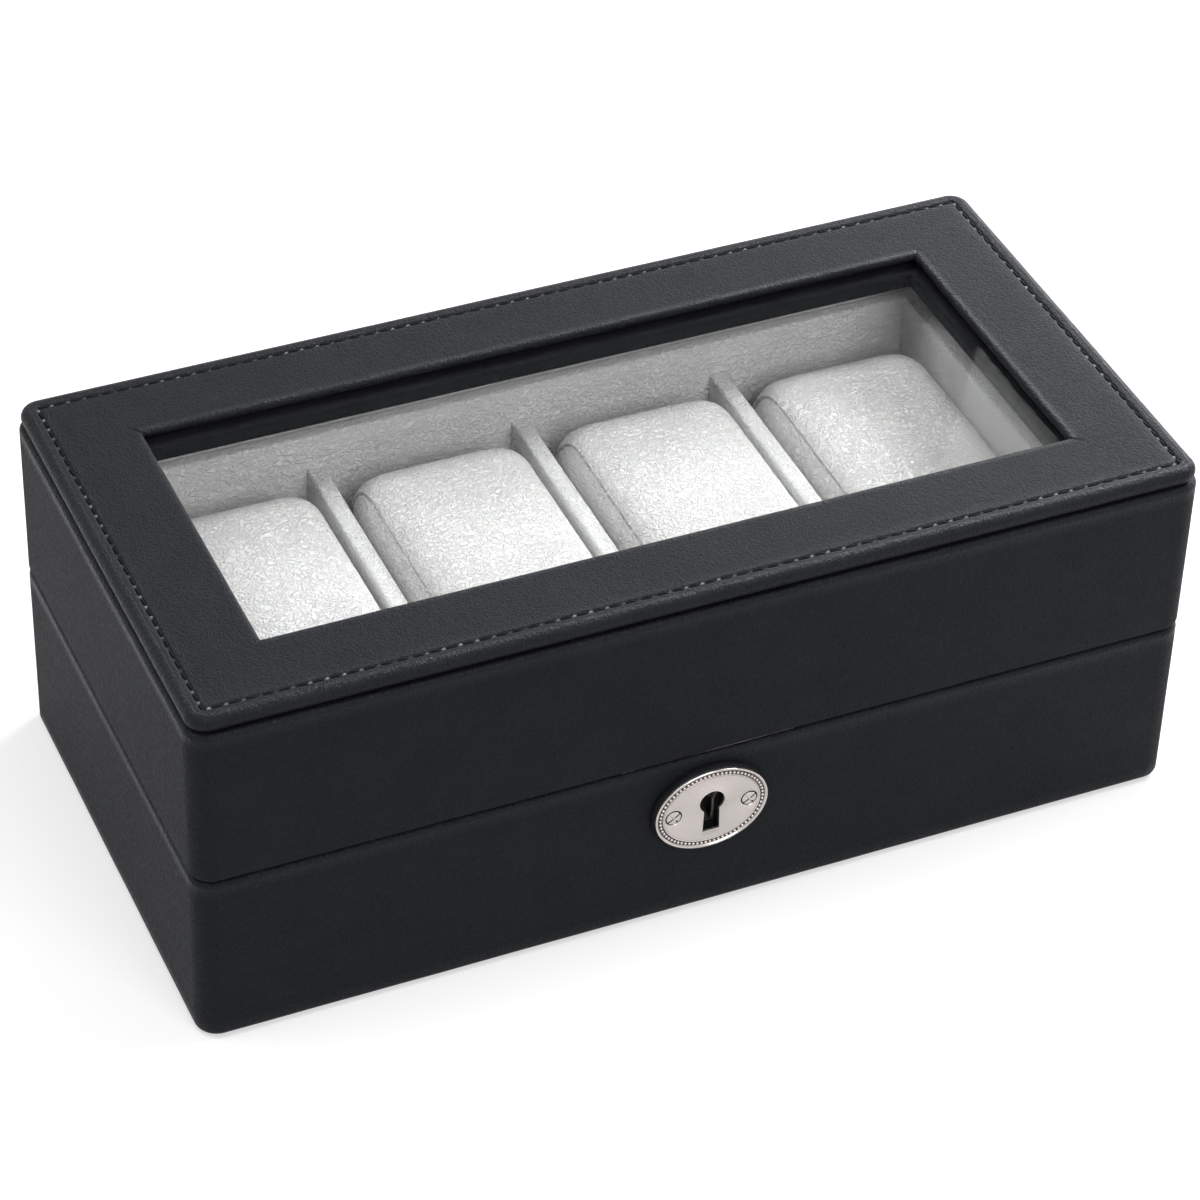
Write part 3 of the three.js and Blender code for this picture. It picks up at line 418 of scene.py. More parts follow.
def glass_finish():
    material, tree, surface = new_finish("glass")
    dust = noise_of(tree, case_coordinates(tree), mottle_pitch, detail=3)
    set_inputs(tree, surface, {
        "Base Color": two_tones(tree, dust, (0.985, 0.99, 0.988), (0.995, 1, 0.998)),
        "Roughness": 0,
        "Transmission Weight": 1,
        "IOR": coated_index,
    })
    path = add_node(tree, "ShaderNodeLightPath")
    straight = maths(tree, "MAXIMUM", path.outputs["Is Shadow Ray"], path.outputs["Is Diffuse Ray"])
    clear = add_node(tree, "ShaderNodeBsdfTransparent")
    mix = add_node(tree, "ShaderNodeMixShader", {0: straight, 1: surface.outputs[0], 2: clear.outputs[0]})
    tree.links.new(mix.outputs[0], tree.nodes["Material Output"].inputs["Surface"])
    return material


board = matt_finish("fibreboard", (0.33, 0.215, 0.11), (0.44, 0.3, 0.165), board_pitch, 0.05 * mm, 0.85)
felt = matt_finish("felt", (0.012, 0.012, 0.013), (0.022, 0.022, 0.023), felt_pitch, 0.15 * mm, 0.95)
thread = matt_finish("thread", (0.003, 0.003, 0.003), (0.006, 0.006, 0.007), yarn_pitch, 0.03 * mm, 0.5, 0.05)
glass = glass_finish()
print("board, felt, thread and glass ready")

# %% [markdown]
# ## Frame parts
#
# The parts that come in with the frame keep their places and meshes, and each gets the finish of its slot.
# Sheet metal and cut board never have knife edges, so the parts that stay in view get a small bevel. A
# modifier does that without touching the mesh: points that lie on each other are welded, edges are
# bevelled, and a small node group smooths the curved faces and keeps edges above an angle sharp. Last,
# weighted normals keep the large faces flat. The pane stays as it is, for a bent normal would bend the view.

# %% Frame parts
finishes = {
    "leatherette": leatherette,
    "fibreboard": board,
    "suede_lining": lining_suede,
    "cushion_suede": cushion_suede,
    "felt": felt,
    "glass": glass,
    "satin_nickel": nickel,
    "plated_steel": steel,
}
bevel_widths = {"fibreboard": 0.25 * mm, "suede_lining": 0.25 * mm, "plated_steel": 0.1 * mm}
weld_reach = 0.002 * mm
sharp_above = math.radians(38)


def smoothing_group():
    group = bpy.data.node_groups.new("smooth curved faces", "GeometryNodeTree")
    group.interface.new_socket("Geometry", in_out="INPUT", socket_type="NodeSocketGeometry")
    group.interface.new_socket("Geometry", in_out="OUTPUT", socket_type="NodeSocketGeometry")
    start = add_node(group, "NodeGroupInput")
    plain = add_node(group, "GeometryNodeRemoveAttribute", {"Name": "custom_normal"})
    group.links.new(start.outputs[0], plain.inputs["Geometry"])
    smooth = add_node(group, "GeometryNodeSetShadeSmooth", {"Geometry": plain.outputs[0]}, domain="FACE")
    angle = add_node(group, "GeometryNodeInputMeshEdgeAngle").outputs["Unsigned Angle"]
    above = add_node(group, "FunctionNodeCompare", operation="GREATER_THAN")
    group.links.new(angle, above.inputs[0])
    above.inputs[1].default_value = sharp_above
    sharp = add_node(group, "GeometryNodeSetShadeSmooth", {"Geometry": smooth.outputs[0]}, domain="EDGE")
    group.links.new(above.outputs[0], sharp.inputs["Selection"])
    sharp.inputs["Shade Smooth"].default_value = False
    end = add_node(group, "NodeGroupOutput")
    group.links.new(sharp.outputs[0], end.inputs[0])
    return group


smooth_curved = smoothing_group()
for part in frame["record"]["subparts"]:
    node = nodes[part["node"]]
    slot = part["material_slot"]
    node.data.materials.clear()
    node.data.materials.append(finishes[slot])
    if slot in bevel_widths:
        node.modifiers.new("weld", "WELD").merge_threshold = weld_reach
        bevel = node.modifiers.new("bevel", "BEVEL")
        bevel.width = bevel_widths[slot]
        bevel.segments = 2
        bevel.limit_method = "ANGLE"
        bevel.angle_limit = sharp_above
        node.modifiers.new("smooth", "NODES").node_group = smooth_curved
        node.modifiers.new("flat faces", "WEIGHTED_NORMAL").keep_sharp = True
print(f"{len(nodes)} frame parts finished")

# %% [markdown]
# ## Rings of leatherette
#
# The wraps of the base and the lid, the top panel and the frame under the glass are all rings: one section
# carried round the case. A bevelled box could not hold their turned-in edges, and a curve with a bevel
# would pinch at the corners. So a ring is made row by row. Each row is a rounded rectangle in plan, drawn in
# from an outline by an inset, at a height; neighbouring rows are joined by faces. A row also says how
# strongly the skin is rolled there, which the leatherette's wrinkles need.

# %% Rings of leatherette
Outline = namedtuple("Outline", "half_x half_y mid_y corner")
Row = namedtuple("Row", "points roll")
long_steps = 360
short_steps = 180
corner_steps = 12
round_steps = 8
least_corner = 0.4 * mm


def plan_points(outline, inset, z):
    radius = max(outline.corner - inset, least_corner)
    reach = (outline.half_x - inset - radius, outline.half_y - inset - radius)
    points = []
    for corner, (sign_x, sign_y) in enumerate([(1, 1), (-1, 1), (-1, -1), (1, -1)]):
        centre = np.array([sign_x * reach[0], outline.mid_y + sign_y * reach[1], z])
        angles = (corner + np.arange(corner_steps + 1) / corner_steps) * quarter_turn
        arc = centre + radius * np.stack([np.cos(angles), np.sin(angles), angles * 0], 1)
        points.append(arc)
        steps = long_steps if corner % 2 == 0 else short_steps
        ahead = (corner + 1) * quarter_turn
        along = np.array([-math.sin(ahead), math.cos(ahead), 0])
        length = 2 * (reach[0] if corner % 2 == 0 else reach[1])
        between = np.arange(1, steps)[:, None] / steps * length
        points.append(arc[-1] + between * along)
    return np.concatenate(points)


def quarter_round(outline, inset, z, radius, start, roll=1.0):
    rows = []
    for step in range(round_steps + 1):
        angle = (start + step / round_steps) * quarter_turn
        row = plan_points(outline, inset - radius * math.cos(angle), z + radius * math.sin(angle))
        rows.append(Row(row, roll))
    return rows


def half_round(outline, inset, z, radius, start):
    first = quarter_round(outline, inset, z, radius, start)
    return first + quarter_round(outline, inset, z, radius, start + 1)[1:]


def rows_between(first, last, count, roll=0.0):
    shares = [(step + 1) / (count + 1) for step in range(count)]
    return [Row(first.points * (1 - share) + last.points * share, roll) for share in shares]


print(f"rows of {2 * (long_steps + short_steps) + 4 * corner_steps} points")

# %% [markdown]
# ## From points to pieces
#
# A piece in Blender is a mesh on an object. These helpers make one from points and faces or from a shape in
# the mesh editor, turn its faces outwards, and put it on its body with its finish, and they serve all later
# pieces. The points of a ring form a grid that closes both ways, so its faces come from the grid and its
# shifted copies. A loop over every face would do the same more slowly. Three numbers go on every point for
# the leatherette: the roll of its row, how far along the edge it lies, and how far round the section.

# %% From points to pieces
def new_piece(name, points, faces):
    mesh = bpy.data.meshes.new(name)
    mesh.from_pydata(np.asarray(points).tolist(), [], faces)
    return new_object(name, mesh)


def object_of(name, shape):
    mesh = bpy.data.meshes.new(name)
    shape.to_mesh(mesh)
    shape.free()
    return new_object(name, mesh)


def face_outwards(piece):
    shape = bmesh.new()
    shape.from_mesh(piece.data)
    if shape.calc_volume(signed=True) < 0:
        bmesh.ops.reverse_faces(shape, faces=shape.faces)
    shape.to_mesh(piece.data)
    shape.free()


def set_numbers(piece, name, values):
    attribute = piece.data.attributes.new(name, "FLOAT", "POINT")
    attribute.data.foreach_set("value", np.asarray(values, np.float32).ravel())


def smooth_faces(piece, sharp_over=35):
    piece.data.shade_smooth()
    piece.data.set_sharp_from_angle(angle=math.radians(sharp_over))


def ring_piece(name, rows):
    count = len(rows)
    width = len(rows[0].points)
    grid = np.arange(count * width).reshape(count, width)
    corners = [grid, np.roll(grid, -1, 1), np.roll(np.roll(grid, -1, 0), -1, 1), np.roll(grid, -1, 0)]
    faces = np.stack(corners, -1).reshape(-1, 4).tolist()
    points = np.stack([row.points for row in rows])
    piece = new_piece(name, points.reshape(-1, 3), faces)
    face_outwards(piece)
    steps = np.linalg.norm(np.diff(points, axis=1, append=points[:, :1]), axis=2)
    runs = np.cumsum(steps[0]) - steps[0]
    girths = np.cumsum(np.linalg.norm(np.diff(points, axis=0, prepend=points[:1]), axis=2)[:, 0])
    set_numbers(piece, "roll", np.repeat([row.roll for row in rows], width))
    set_numbers(piece, "run", np.tile(runs, count))
    set_numbers(piece, "girth", np.repeat(girths, width))
    return piece


def seat(piece, body, finish, slot, *replaced):
    piece.data.materials.clear()
    piece.data.materials.append(finish)
    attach(piece, body)
    if replaced:
        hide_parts(*replaced)
    print(f"{piece.name}: {len(piece.data.polygons)} faces")


wrap_low, wrap_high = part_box("base_leatherette")
lid_low, lid_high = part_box("lid_leatherette")
panel_low, panel_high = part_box("top_panel")
case_outline = Outline(lid_high.x, lid_high.y, 0, 6 * mm)
print(f"case outline of {2 * case_outline.half_x / mm:.0f} by {2 * case_outline.half_y / mm:.0f} mm")

# %% [markdown]
# ## Relief by hand
#
# Nothing that is glued and rolled by hand is dead flat. A ring's points are moved along their normals by a
# slow noise, a few hundredths of a millimetre deep, so that long reflections waver as on the real case. In
# a window's corners two strips of skin meet in a mitre, which leaves a crease. It gets its own narrow dip,
# in the middle of each corner and only where the skin is rolled.

# %% Relief by hand
waver_pitch = 16 * mm
waver_depth = 0.045 * mm
crease_depth = 0.3 * mm
crease_width_share = 0.09


def crease_shares():
    arc = np.linspace(-0.5, 0.5, corner_steps + 1)
    dip = np.exp(-((arc / crease_width_share) ** 2))
    shares = []
    for corner in range(4):
        straight = (long_steps if corner % 2 == 0 else short_steps) - 1
        shares += [dip, np.zeros(straight)]
    return np.concatenate(shares)


def add_relief(piece, creased_rows=None):
    mesh = piece.data
    count = len(mesh.vertices)
    points = np.zeros(count * 3, np.float32)
    normals = np.zeros(count * 3, np.float32)
    mesh.vertices.foreach_get("co", points)
    mesh.vertex_normals.foreach_get("vector", normals)
    points = points.reshape(-1, 3)
    places = points / waver_pitch
    depths = np.array([noise.noise(Vector(place)) for place in places]) * waver_depth
    if creased_rows is not None:
        depths -= (np.array(creased_rows)[:, None] * crease_shares()).ravel() * crease_depth
    moved = points + normals.reshape(-1, 3) * depths[:, None]
    mesh.vertices.foreach_set("co", moved.ravel())
    mesh.update()


print(f"relief of {waver_depth / mm:.3f} mm, creases of {crease_depth / mm:.1f} mm")

# %% [markdown]
# ## Openings in a wrap
#
# Slots for the lock, the hinges and the keyhole are cut through the finished wrap, as a knife does once the
# skin is glued down. A boolean modifier fits that better than holes planned into the rows, because the
# openings follow the lock and the hinges wherever the frame puts them. The modifier's result is kept as
# the piece's own mesh and the cutting blocks are deleted.

# %% Openings in a wrap
def block(name, low, high):
    shape = bmesh.new()
    bmesh.ops.create_cube(shape, size=1)
    low, high = Vector(low), Vector(high)
    for point in shape.verts:
        point.co = [(point.co[i] + 0.5) * (high[i] - low[i]) + low[i] for i in range(3)]
    return object_of(name, shape)


def turned_to(axis, centre):
    turn = Vector((0, 0, 1)).rotation_difference(Vector(axis)).to_matrix().to_4x4()
    return Matrix.Translation(centre) @ turn


def bar_along(name, axis, centre, radius, length, steps=32):
    shape = bmesh.new()
    bmesh.ops.create_cone(shape, cap_ends=True, segments=steps, radius1=radius, radius2=radius, depth=length)
    shape.transform(turned_to(axis, centre))
    return object_of(name, shape)


def cut_away(piece, cutters):
    for cutter in cutters:
        modifier = piece.modifiers.new("opening", "BOOLEAN")
        modifier.operation = "DIFFERENCE"
        modifier.solver = "EXACT"
        modifier.object = cutter
    shown = piece.evaluated_get(bpy.context.evaluated_depsgraph_get())
    mesh = bpy.data.meshes.new_from_object(shown)
    mesh.name = piece.data.name
    piece.modifiers.clear()
    piece.data = mesh
    for cutter in cutters:
        bpy.data.objects.remove(cutter)


print("openings are cut once a wrap is whole")

# %% [markdown]
# ## Base wrap
#
# One sheet of leatherette goes up the base's walls, over the rim and down behind it, and is turned in under
# the bottom. The section below follows it once round: under the base, up the outside with a rolled edge at
# the foot and at the rim, and back on the inner face of the skin. The wall between the two rolled edges
# gets rows of its own, so that the relief has points to move.

# %% Base wrap
leather = 0.9 * mm
rolled_edge = 1.5 * mm
turn_under = 12 * mm
close_play = 0.1 * mm
board_inset = leather + close_play
base_wall = 7 * mm
wall_rows = 14


def outer_wall(outline, low, high, foot_roll=1.0):
    foot = quarter_round(outline, rolled_edge, low + rolled_edge, rolled_edge, -1, foot_roll)
    top = quarter_round(outline, rolled_edge, high - rolled_edge, rolled_edge, 0)
    return foot + rows_between(foot[-1], top[0], wall_rows) + top


def plain_row(outline, inset, z, roll=0.0):
    return Row(plan_points(outline, inset, z), roll)


turn_in = board_inset + base_wall
base_rows = [plain_row(case_outline, turn_under, wrap_low.z)]
base_rows += outer_wall(case_outline, wrap_low.z, wrap_high.z)
base_rows += [
    plain_row(case_outline, turn_in, wrap_high.z),
    plain_row(case_outline, turn_in, wrap_high.z - leather),
    plain_row(case_outline, leather, wrap_high.z - leather),
    plain_row(case_outline, leather, wrap_low.z + leather),
    plain_row(case_outline, turn_under, wrap_low.z + leather),
]
base_wrap = ring_piece("base_wrap", base_rows)
add_relief(base_wrap)
print(f"{base_wrap.name}: {len(base_rows)} rows")

# %% [markdown]
# ## Openings in the base wrap
#
# The leaves of the hinges lie in the rear rim, each with a round hollow for its barrel, the lock's selvage
# lies in the front rim, and the key goes through the front. Every opening is cut with a little play round
# its part, so that nothing rubs, and with an overrun on the open side, so that no thin film of skin stays.
# The function for the hinges takes a direction, because the lid's wrap has the same openings the other way
# up.

# %% Openings in the base wrap
cut_play = 0.3 * mm
cut_overrun = 2 * mm
seat_deep = 1.3 * mm


def hinge_openings(up):
    openings = []
    half = "lid" if up > 0 else "base"
    for side in ("left", "right"):
        leaf_low, leaf_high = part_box(f"hinge_{side}_{half}_leaf")
        pin_low, pin_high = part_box(f"hinge_{side}_pin")
        axis = (pin_low + pin_high) / 2
        barrel = (leaf_high.z - leaf_low.z) / 2 + cut_play
        screw_low, screw_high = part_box(f"hinge_{side}_{half}_screw_1")
        face = screw_low.z if up > 0 else screw_high.z
        deep = face + up * seat_deep
        far = face - up * cut_overrun
        low = (leaf_low.x - cut_play, leaf_low.y - cut_play, min(deep, far))
        high = (leaf_high.x + cut_play, leaf_high.y + cut_overrun, max(deep, far))
        openings.append(block("leaf opening", low, high))
        length = pin_high.x - pin_low.x + 2 * cut_play
        openings.append(bar_along("barrel opening", (1, 0, 0), axis, barrel, length))
    return openings


lock_low, lock_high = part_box("lock_case")
selvage = block(
    "selvage opening",
    (lock_low.x - cut_play, lock_low.y - close_play, wrap_high.z - seat_deep),
    (lock_high.x + cut_play, lock_high.y + cut_overrun, wrap_high.z + cut_overrun),
)
post_low, post_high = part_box("lock_key_post")
key_axis = Vector((0, 0, (post_low.z + post_high.z) / 2))
keyhole_round = 3.15 * mm
keyhole_waist = 3.7 * mm
keyhole_foot = 4.1 * mm
keyhole_drop = 9.2 * mm
front = Vector((0, -case_outline.half_y, key_axis.z))
key_opening = bar_along("key opening", (0, 1, 0), front, keyhole_round + cut_play, 2 * cut_overrun)
slot_opening = block(
    "slot opening",
    (-keyhole_foot / 2 - cut_play, -case_outline.half_y - cut_overrun, key_axis.z - keyhole_drop - cut_play),
    (keyhole_foot / 2 + cut_play, -case_outline.half_y + cut_overrun, key_axis.z),
)
cut_away(base_wrap, [*hinge_openings(-1), selvage, key_opening, slot_opening])
smooth_faces(base_wrap)
seat(base_wrap, "base", leatherette, "leatherette", "base_leatherette")

# %% [markdown]
# ## Lid wrap
#
# The lid's sides are wrapped in the same way, with a rolled edge below, where it meets the base, and one
# above, where it meets the top panel. Between these two rolled edges and their neighbours lie the fine dark
# lines that run round the whole case. The lower line must stay dark, so the lid's lower edge, though round,
# is given no roll and doesn't shine. The skin is turned in far enough to reach the lining.

# %% Lid wrap
lid_foot_roll = 0
lining_low, lining_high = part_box("lid_wall_lining")
lid_inside = Outline(
    lining_high.x, (lining_high.y - lining_low.y) / 2, (lining_high.y + lining_low.y) / 2, least_corner
)
lid_rows = outer_wall(case_outline, lid_low.z, lid_high.z, lid_foot_roll)
lid_rows += [
    plain_row(lid_inside, 0, lid_high.z),
    plain_row(lid_inside, 0, lid_high.z - leather),
    plain_row(case_outline, leather, lid_high.z - leather),
    plain_row(case_outline, leather, lid_low.z + leather),
    plain_row(lid_inside, 0, lid_low.z + leather),
    plain_row(lid_inside, 0, lid_low.z),
]
lid_wrap = ring_piece("lid_wrap", lid_rows)
add_relief(lid_wrap)
strike_low, strike_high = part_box("strike_plate")
strike = block(
    "strike opening",
    (strike_low.x - cut_play, strike_low.y - close_play, lid_low.z - cut_overrun),
    (strike_high.x + cut_play, strike_high.y + cut_overrun, strike_high.z + close_play),
)
cut_away(lid_wrap, [*hinge_openings(1), strike])
smooth_faces(lid_wrap)
seat(lid_wrap, "lid", leatherette, "leatherette", "lid_leatherette")

# %% [markdown]
# ## Top panel: the border
#
# The top panel is a board frame in leatherette. A row of stitches holds the skin down near its edge, so the
# skin sinks into a groove there and swells again on both sides, over a faint padding. Carving the groove
# afterwards would blur it, so each row of the border is worked out from a height at its inset. The groove is
# not even: between two stitches a bridge of skin stays up in it, and so the row's points go up and down in
# step with the stitches.

# %% Top panel: the border
panel_inset = case_outline.half_x - panel_high.x
panel_thick = panel_high.z - panel_low.z
bead = panel_thick / 2
stitch_inset = 5.1 * mm
stitch_pitch = 4.2 * mm
groove_depth = 0.62 * mm
groove_width = 0.44 * mm
bridge_share = 0.75
bridge_reach = 0.55 * mm
seam_roll = 0.6
seam_roll_reach = 2 * mm
shoulder_drop = 0.34 * mm
padding_drop = 0.3 * mm
padding_reach = 2.6 * mm


def border_drop(inset):
    if inset < stitch_inset:
        share = (inset - panel_inset - bead) / (stitch_inset - panel_inset - bead)
        return shoulder_drop * share**2
    return padding_drop * math.exp(-(inset - stitch_inset) / padding_reach)


seam_line = plan_points(case_outline, stitch_inset, 0)
seam_steps = np.linalg.norm(np.diff(seam_line, axis=0, append=seam_line[:1]), axis=1)
seam_walk = np.cumsum(seam_steps) - seam_steps
seam_length = seam_steps.sum()
stitch_count = round(seam_length / stitch_pitch)
stitch_phase = seam_walk / seam_length * stitch_count % 1
to_bridge = np.minimum(stitch_phase, 1 - stitch_phase) * seam_length / stitch_count
groove_here = groove_depth * (1 - bridge_share * np.exp(-((to_bridge / bridge_reach) ** 2)))


def border_row(inset):
    row = plain_row(case_outline, inset, panel_high.z - border_drop(inset))
    row.points[:, 2] -= groove_here * math.exp(-(((inset - stitch_inset) / groove_width) ** 2))
    return Row(row.points, seam_roll * math.exp(-(((inset - stitch_inset) / seam_roll_reach) ** 2)))


print(f"{stitch_count} bridges in a groove of {groove_depth / mm:.2f} mm")

# %% [markdown]
# ## Top panel: the ring
#
# The panel's outer edge is a full round, and its inner one rolls over the board and down to the glass. The
# rows follow that from outside to inside. Those near the window follow the window's outline, and the ones
# between are blended from one outline to the other, which keeps the faces even in the corners. Where the
# thread comes out of the groove a pale tick is painted on the skin as a painted glint, and the points there
# carry that as a number.

# %% Top panel: the ring
lip = 2.6 * mm
glass_lap = 4 * mm
glass_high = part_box("glass_pane")[1]
window = Outline(glass_high.x - glass_lap, glass_high.y - glass_lap, 0, 0.5 * mm)
painted_glint_reach = 0.2 * mm
border_end = 11 * mm
border_steps = 44
blend_rows = 7
panel_rows = half_round(case_outline, panel_inset + bead, panel_low.z + bead, bead, -1)
first_border_row = len(panel_rows)
border_step = (border_end - panel_inset - bead) / border_steps
for step in range(1, border_steps + 1):
    inset = panel_inset + bead + border_step * step
    panel_rows.append(border_row(inset))
before_lip = plain_row(window, -lip, panel_high.z)
panel_rows += rows_between(panel_rows[-1], before_lip, blend_rows) + [before_lip]
first_lip_row = len(panel_rows)
panel_rows += half_round(window, -lip / 2, panel_high.z - lip / 2, lip / 2, 1)
last_lip_row = len(panel_rows)
panel_rows += [
    plain_row(window, -glass_lap - close_play, panel_high.z - lip),
    plain_row(window, -glass_lap - close_play, panel_low.z),
]
creased = [1.0 if first_lip_row - 1 <= row < last_lip_row else 0.0 for row in range(len(panel_rows))]
stitched_panel = ring_piece("stitched_panel", panel_rows)
# Painted glint: the rows at the seam mark where pale ticks are painted beside each stitch.
painted_glint = np.zeros((len(panel_rows), len(seam_line)))
seam_row = first_border_row + round((stitch_inset - panel_inset - bead) / border_step) - 1
painted_glint[seam_row - 1 : seam_row + 2] = np.exp(-((to_bridge / painted_glint_reach) ** 2))
set_numbers(stitched_panel, "painted_glint", painted_glint)
add_relief(stitched_panel, creased)
smooth_faces(stitched_panel)
seat(stitched_panel, "lid", leatherette, "leatherette", "top_panel")

# %% [markdown]
# ## Frame under the glass
#
# A second, narrower frame holds the glass from below. It is covered in the same skin and shows through the
# glass as a dark step. It is one more ring, with both inner edges rounded and a crease in each corner. It
# lies in the shade of the top panel, so its roll is below zero, which keeps the edges matt.

# %% Frame under the glass
inner_low, inner_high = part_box("window_inner_frame")
inner_reveal = 1.5 * mm
inner_edge = 1.2 * mm
inner_roll = -0.6
inner_crease = 0.8
inner_face_rows = 4
inner_outside = window.half_x - inner_high.x
edge_inset = inner_reveal - inner_edge
inner_rows = [
    plain_row(window, inner_outside, inner_low.z),
    plain_row(window, inner_outside, inner_high.z),
]
inner_rows += quarter_round(window, edge_inset, inner_high.z - inner_edge, inner_edge, 1, inner_roll)
upper_edge_end = inner_rows[-1]
lower_edge = quarter_round(window, edge_inset, inner_low.z + inner_edge, inner_edge, 2, inner_roll)
inner_rows += rows_between(upper_edge_end, lower_edge[0], inner_face_rows) + lower_edge
inner_creased = [0.0, 0.0] + [inner_crease] * (len(inner_rows) - 2)
inner_frame = ring_piece("inner_frame", inner_rows)
add_relief(inner_frame, inner_creased)
smooth_faces(inner_frame)
seat(inner_frame, "lid", leatherette, "leatherette", "window_inner_frame")

# %% [markdown]
# ## Stitching
#
# A lockstitch shows on the face as separate short bars of thread, each diving into the skin at both ends.
# A dashed texture would have no height. Each stitch here is a small tube of twisted yarn along an arch, and
# a loop lays them at an even pitch in the groove of the top panel. As on a machine seam, each lies a little
# askew, and no two are quite alike. A fixed seed keeps them the same from run to run.

# %% Stitching
stitch_length = 3.2 * mm
yarn_radius = 0.36 * mm
stitch_sink = 0.6 * mm
stitch_below = 0.22 * mm
stitch_height = panel_high.z - shoulder_drop - stitch_below
stitch_skew = math.radians(5)
skew_spread = 0.025
height_spread = 0.025
length_spread = 0.03
dive_power = 3.5
tip_thinning = 0.55
tip_power = 6
ply_relief = 0.1
yarn_twist = 2.2
yarn_plies = 3
stitch_rings = 13
yarn_sides = 10
chance = np.random.default_rng(7)


def stitch_points(middle, along, length):
    sideways = Vector((0, 0, 1)).cross(along)
    skew = stitch_skew + float(chance.normal(0, skew_spread))
    along = (along * math.cos(skew) + sideways * math.sin(skew)).normalized()
    sideways = Vector((0, 0, 1)).cross(along)
    points = []
    for ring in range(stitch_rings):
        share = 2 * ring / (stitch_rings - 1) - 1
        dive = Vector((0, 0, stitch_sink * abs(share) ** dive_power))
        centre = middle + along * (share * length / 2) - dive
        thick = yarn_radius * (1 - tip_thinning * abs(share) ** tip_power)
        for side in range(yarn_sides):
            angle = side / yarn_sides * full_turn
            ply = 1 + ply_relief * math.cos(yarn_plies * (angle - yarn_twist * share * math.pi))
            offset = sideways * math.cos(angle) + Vector((0, 0, math.sin(angle)))
            points.append(centre + offset * thick * ply)
    return points


def tube_faces(rings, sides, start=0):
    faces = []
    for ring in range(rings - 1):
        near = start + ring * sides
        for side in range(sides):
            after = (side + 1) % sides
            faces.append((near + side, near + after, near + sides + after, near + sides + side))
    last = start + (rings - 1) * sides
    faces.append(tuple(reversed(range(start, start + sides))))
    faces.append(tuple(range(last, last + sides)))
    return faces


stitch_vertices = []
stitch_polygons = []
for number in range(stitch_count):
    target = (number + 0.5) * seam_length / stitch_count
    index = int(np.searchsorted(seam_walk, target)) - 1
    start_point = Vector(seam_line[index])
    step = Vector(seam_line[(index + 1) % len(seam_line)]) - start_point
    middle = start_point + step * ((target - seam_walk[index]) / seam_steps[index])
    middle.z = stitch_height + float(chance.normal(0, height_spread)) * mm
    length = stitch_length * (1 + float(chance.normal(0, length_spread)))
    stitch_polygons += tube_faces(stitch_rings, yarn_sides, len(stitch_vertices))
    stitch_vertices += stitch_points(middle, step.normalized(), length)
stitching = new_piece("top_panel_stitching", stitch_vertices, stitch_polygons)
face_outwards(stitching)
smooth_faces(stitching, 60)
seat(stitching, "lid", thread, None)
print(f"{stitch_count} stitches on a seam of {seam_length / mm:.0f} mm")

# %% [markdown]
# ## Lined boards
#
# The tray is made of boards covered in suede: four tall ones round it and three dividers. Where the suede
# goes over a board's upper edge it is soft and never quite straight. Each board is a loft: one section with
# rounded upper corners, repeated along the board, with a slow noise on the points near the top. The crest
# may only sink, so that no board grows taller than its part. The size and the direction of each board come
# from its part of the frame.

# %% Lined boards
soft_edge = 0.9 * mm
board_step = 1.5 * mm
edge_steps = 7
edge_waver = 0.16 * mm
edge_waver_pitch = 7 * mm
edge_waver_reach = 5 * mm
crest = 0.2 * mm


def board_section(half, low, high):
    edge = min(soft_edge, half - least_corner)
    section = [(-half, low), (half, low), (half, (low + high) / 2)]
    for middle, start in ((half - edge, 0), (edge - half, 1)):
        for step in range(edge_steps + 1):
            angle = (start + step / edge_steps) * quarter_turn
            section.append((middle + edge * math.cos(angle), high - edge + edge * math.sin(angle)))
    return section + [(-half, (low + high) / 2)]


def lined_board(name):
    low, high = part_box(name)
    spread = high - low
    runs_x = spread.x > spread.y
    length = spread.x if runs_x else spread.y
    half = (spread.y if runs_x else spread.x) / 2
    section = board_section(half, low.z, high.z)
    stations = math.ceil(length / board_step) + 1
    middle = (low + high) / 2
    points = []
    for station in range(stations):
        along = (station / (stations - 1) - 0.5) * length
        for across, z in section:
            point = Vector((middle.x + along, middle.y + across, z))
            if not runs_x:
                point = Vector((middle.x + across, middle.y + along, z))
            near_top = max(0.0, 1 - (high.z - z) / edge_waver_reach)
            waver = noise.noise(point / edge_waver_pitch) * edge_waver * near_top
            point.z += min(waver, 0) if high.z - z < crest else waver
            points.append(point)
    width = len(section)
    faces = [tuple(range(width)), tuple(reversed(range((stations - 1) * width, stations * width)))]
    for station in range(stations - 1):
        near = station * width
        for side in range(width):
            after = (side + 1) % width
            faces.append((near + side, near + width + side, near + width + after, near + after))
    piece = new_piece(f"lined_{name}", points, faces)
    face_outwards(piece)
    smooth_faces(piece)
    seat(piece, "base", lining_suede, "suede_lining", name)


for name in ("tray_board_front", "tray_board_rear", "tray_board_left", "tray_board_right"):
    lined_board(name)
for number in (1, 2, 3):
    lined_board(f"divider_{number}")

# %% [markdown]
# ## Cushions: the foam's shape
#
# A watch cushion is a foam core in a suede cover: a long band goes over the top and round both ends, and is
# sewn to a side panel on each side, a little below the edge it rolls over. The foam presses the cover full.
# Carving that by hand gives a block with round corners. Cloth does it better: a slightly smaller copy of the
# cushion's solid is remeshed evenly, blown up by a pressure inside a cloth, and stopped after a short way.
# A remesh has no seam in it and rounds off the roll beside it, so only the swelling is kept: how far and
# which way each point has moved. The cover's own mesh takes it up afterwards.

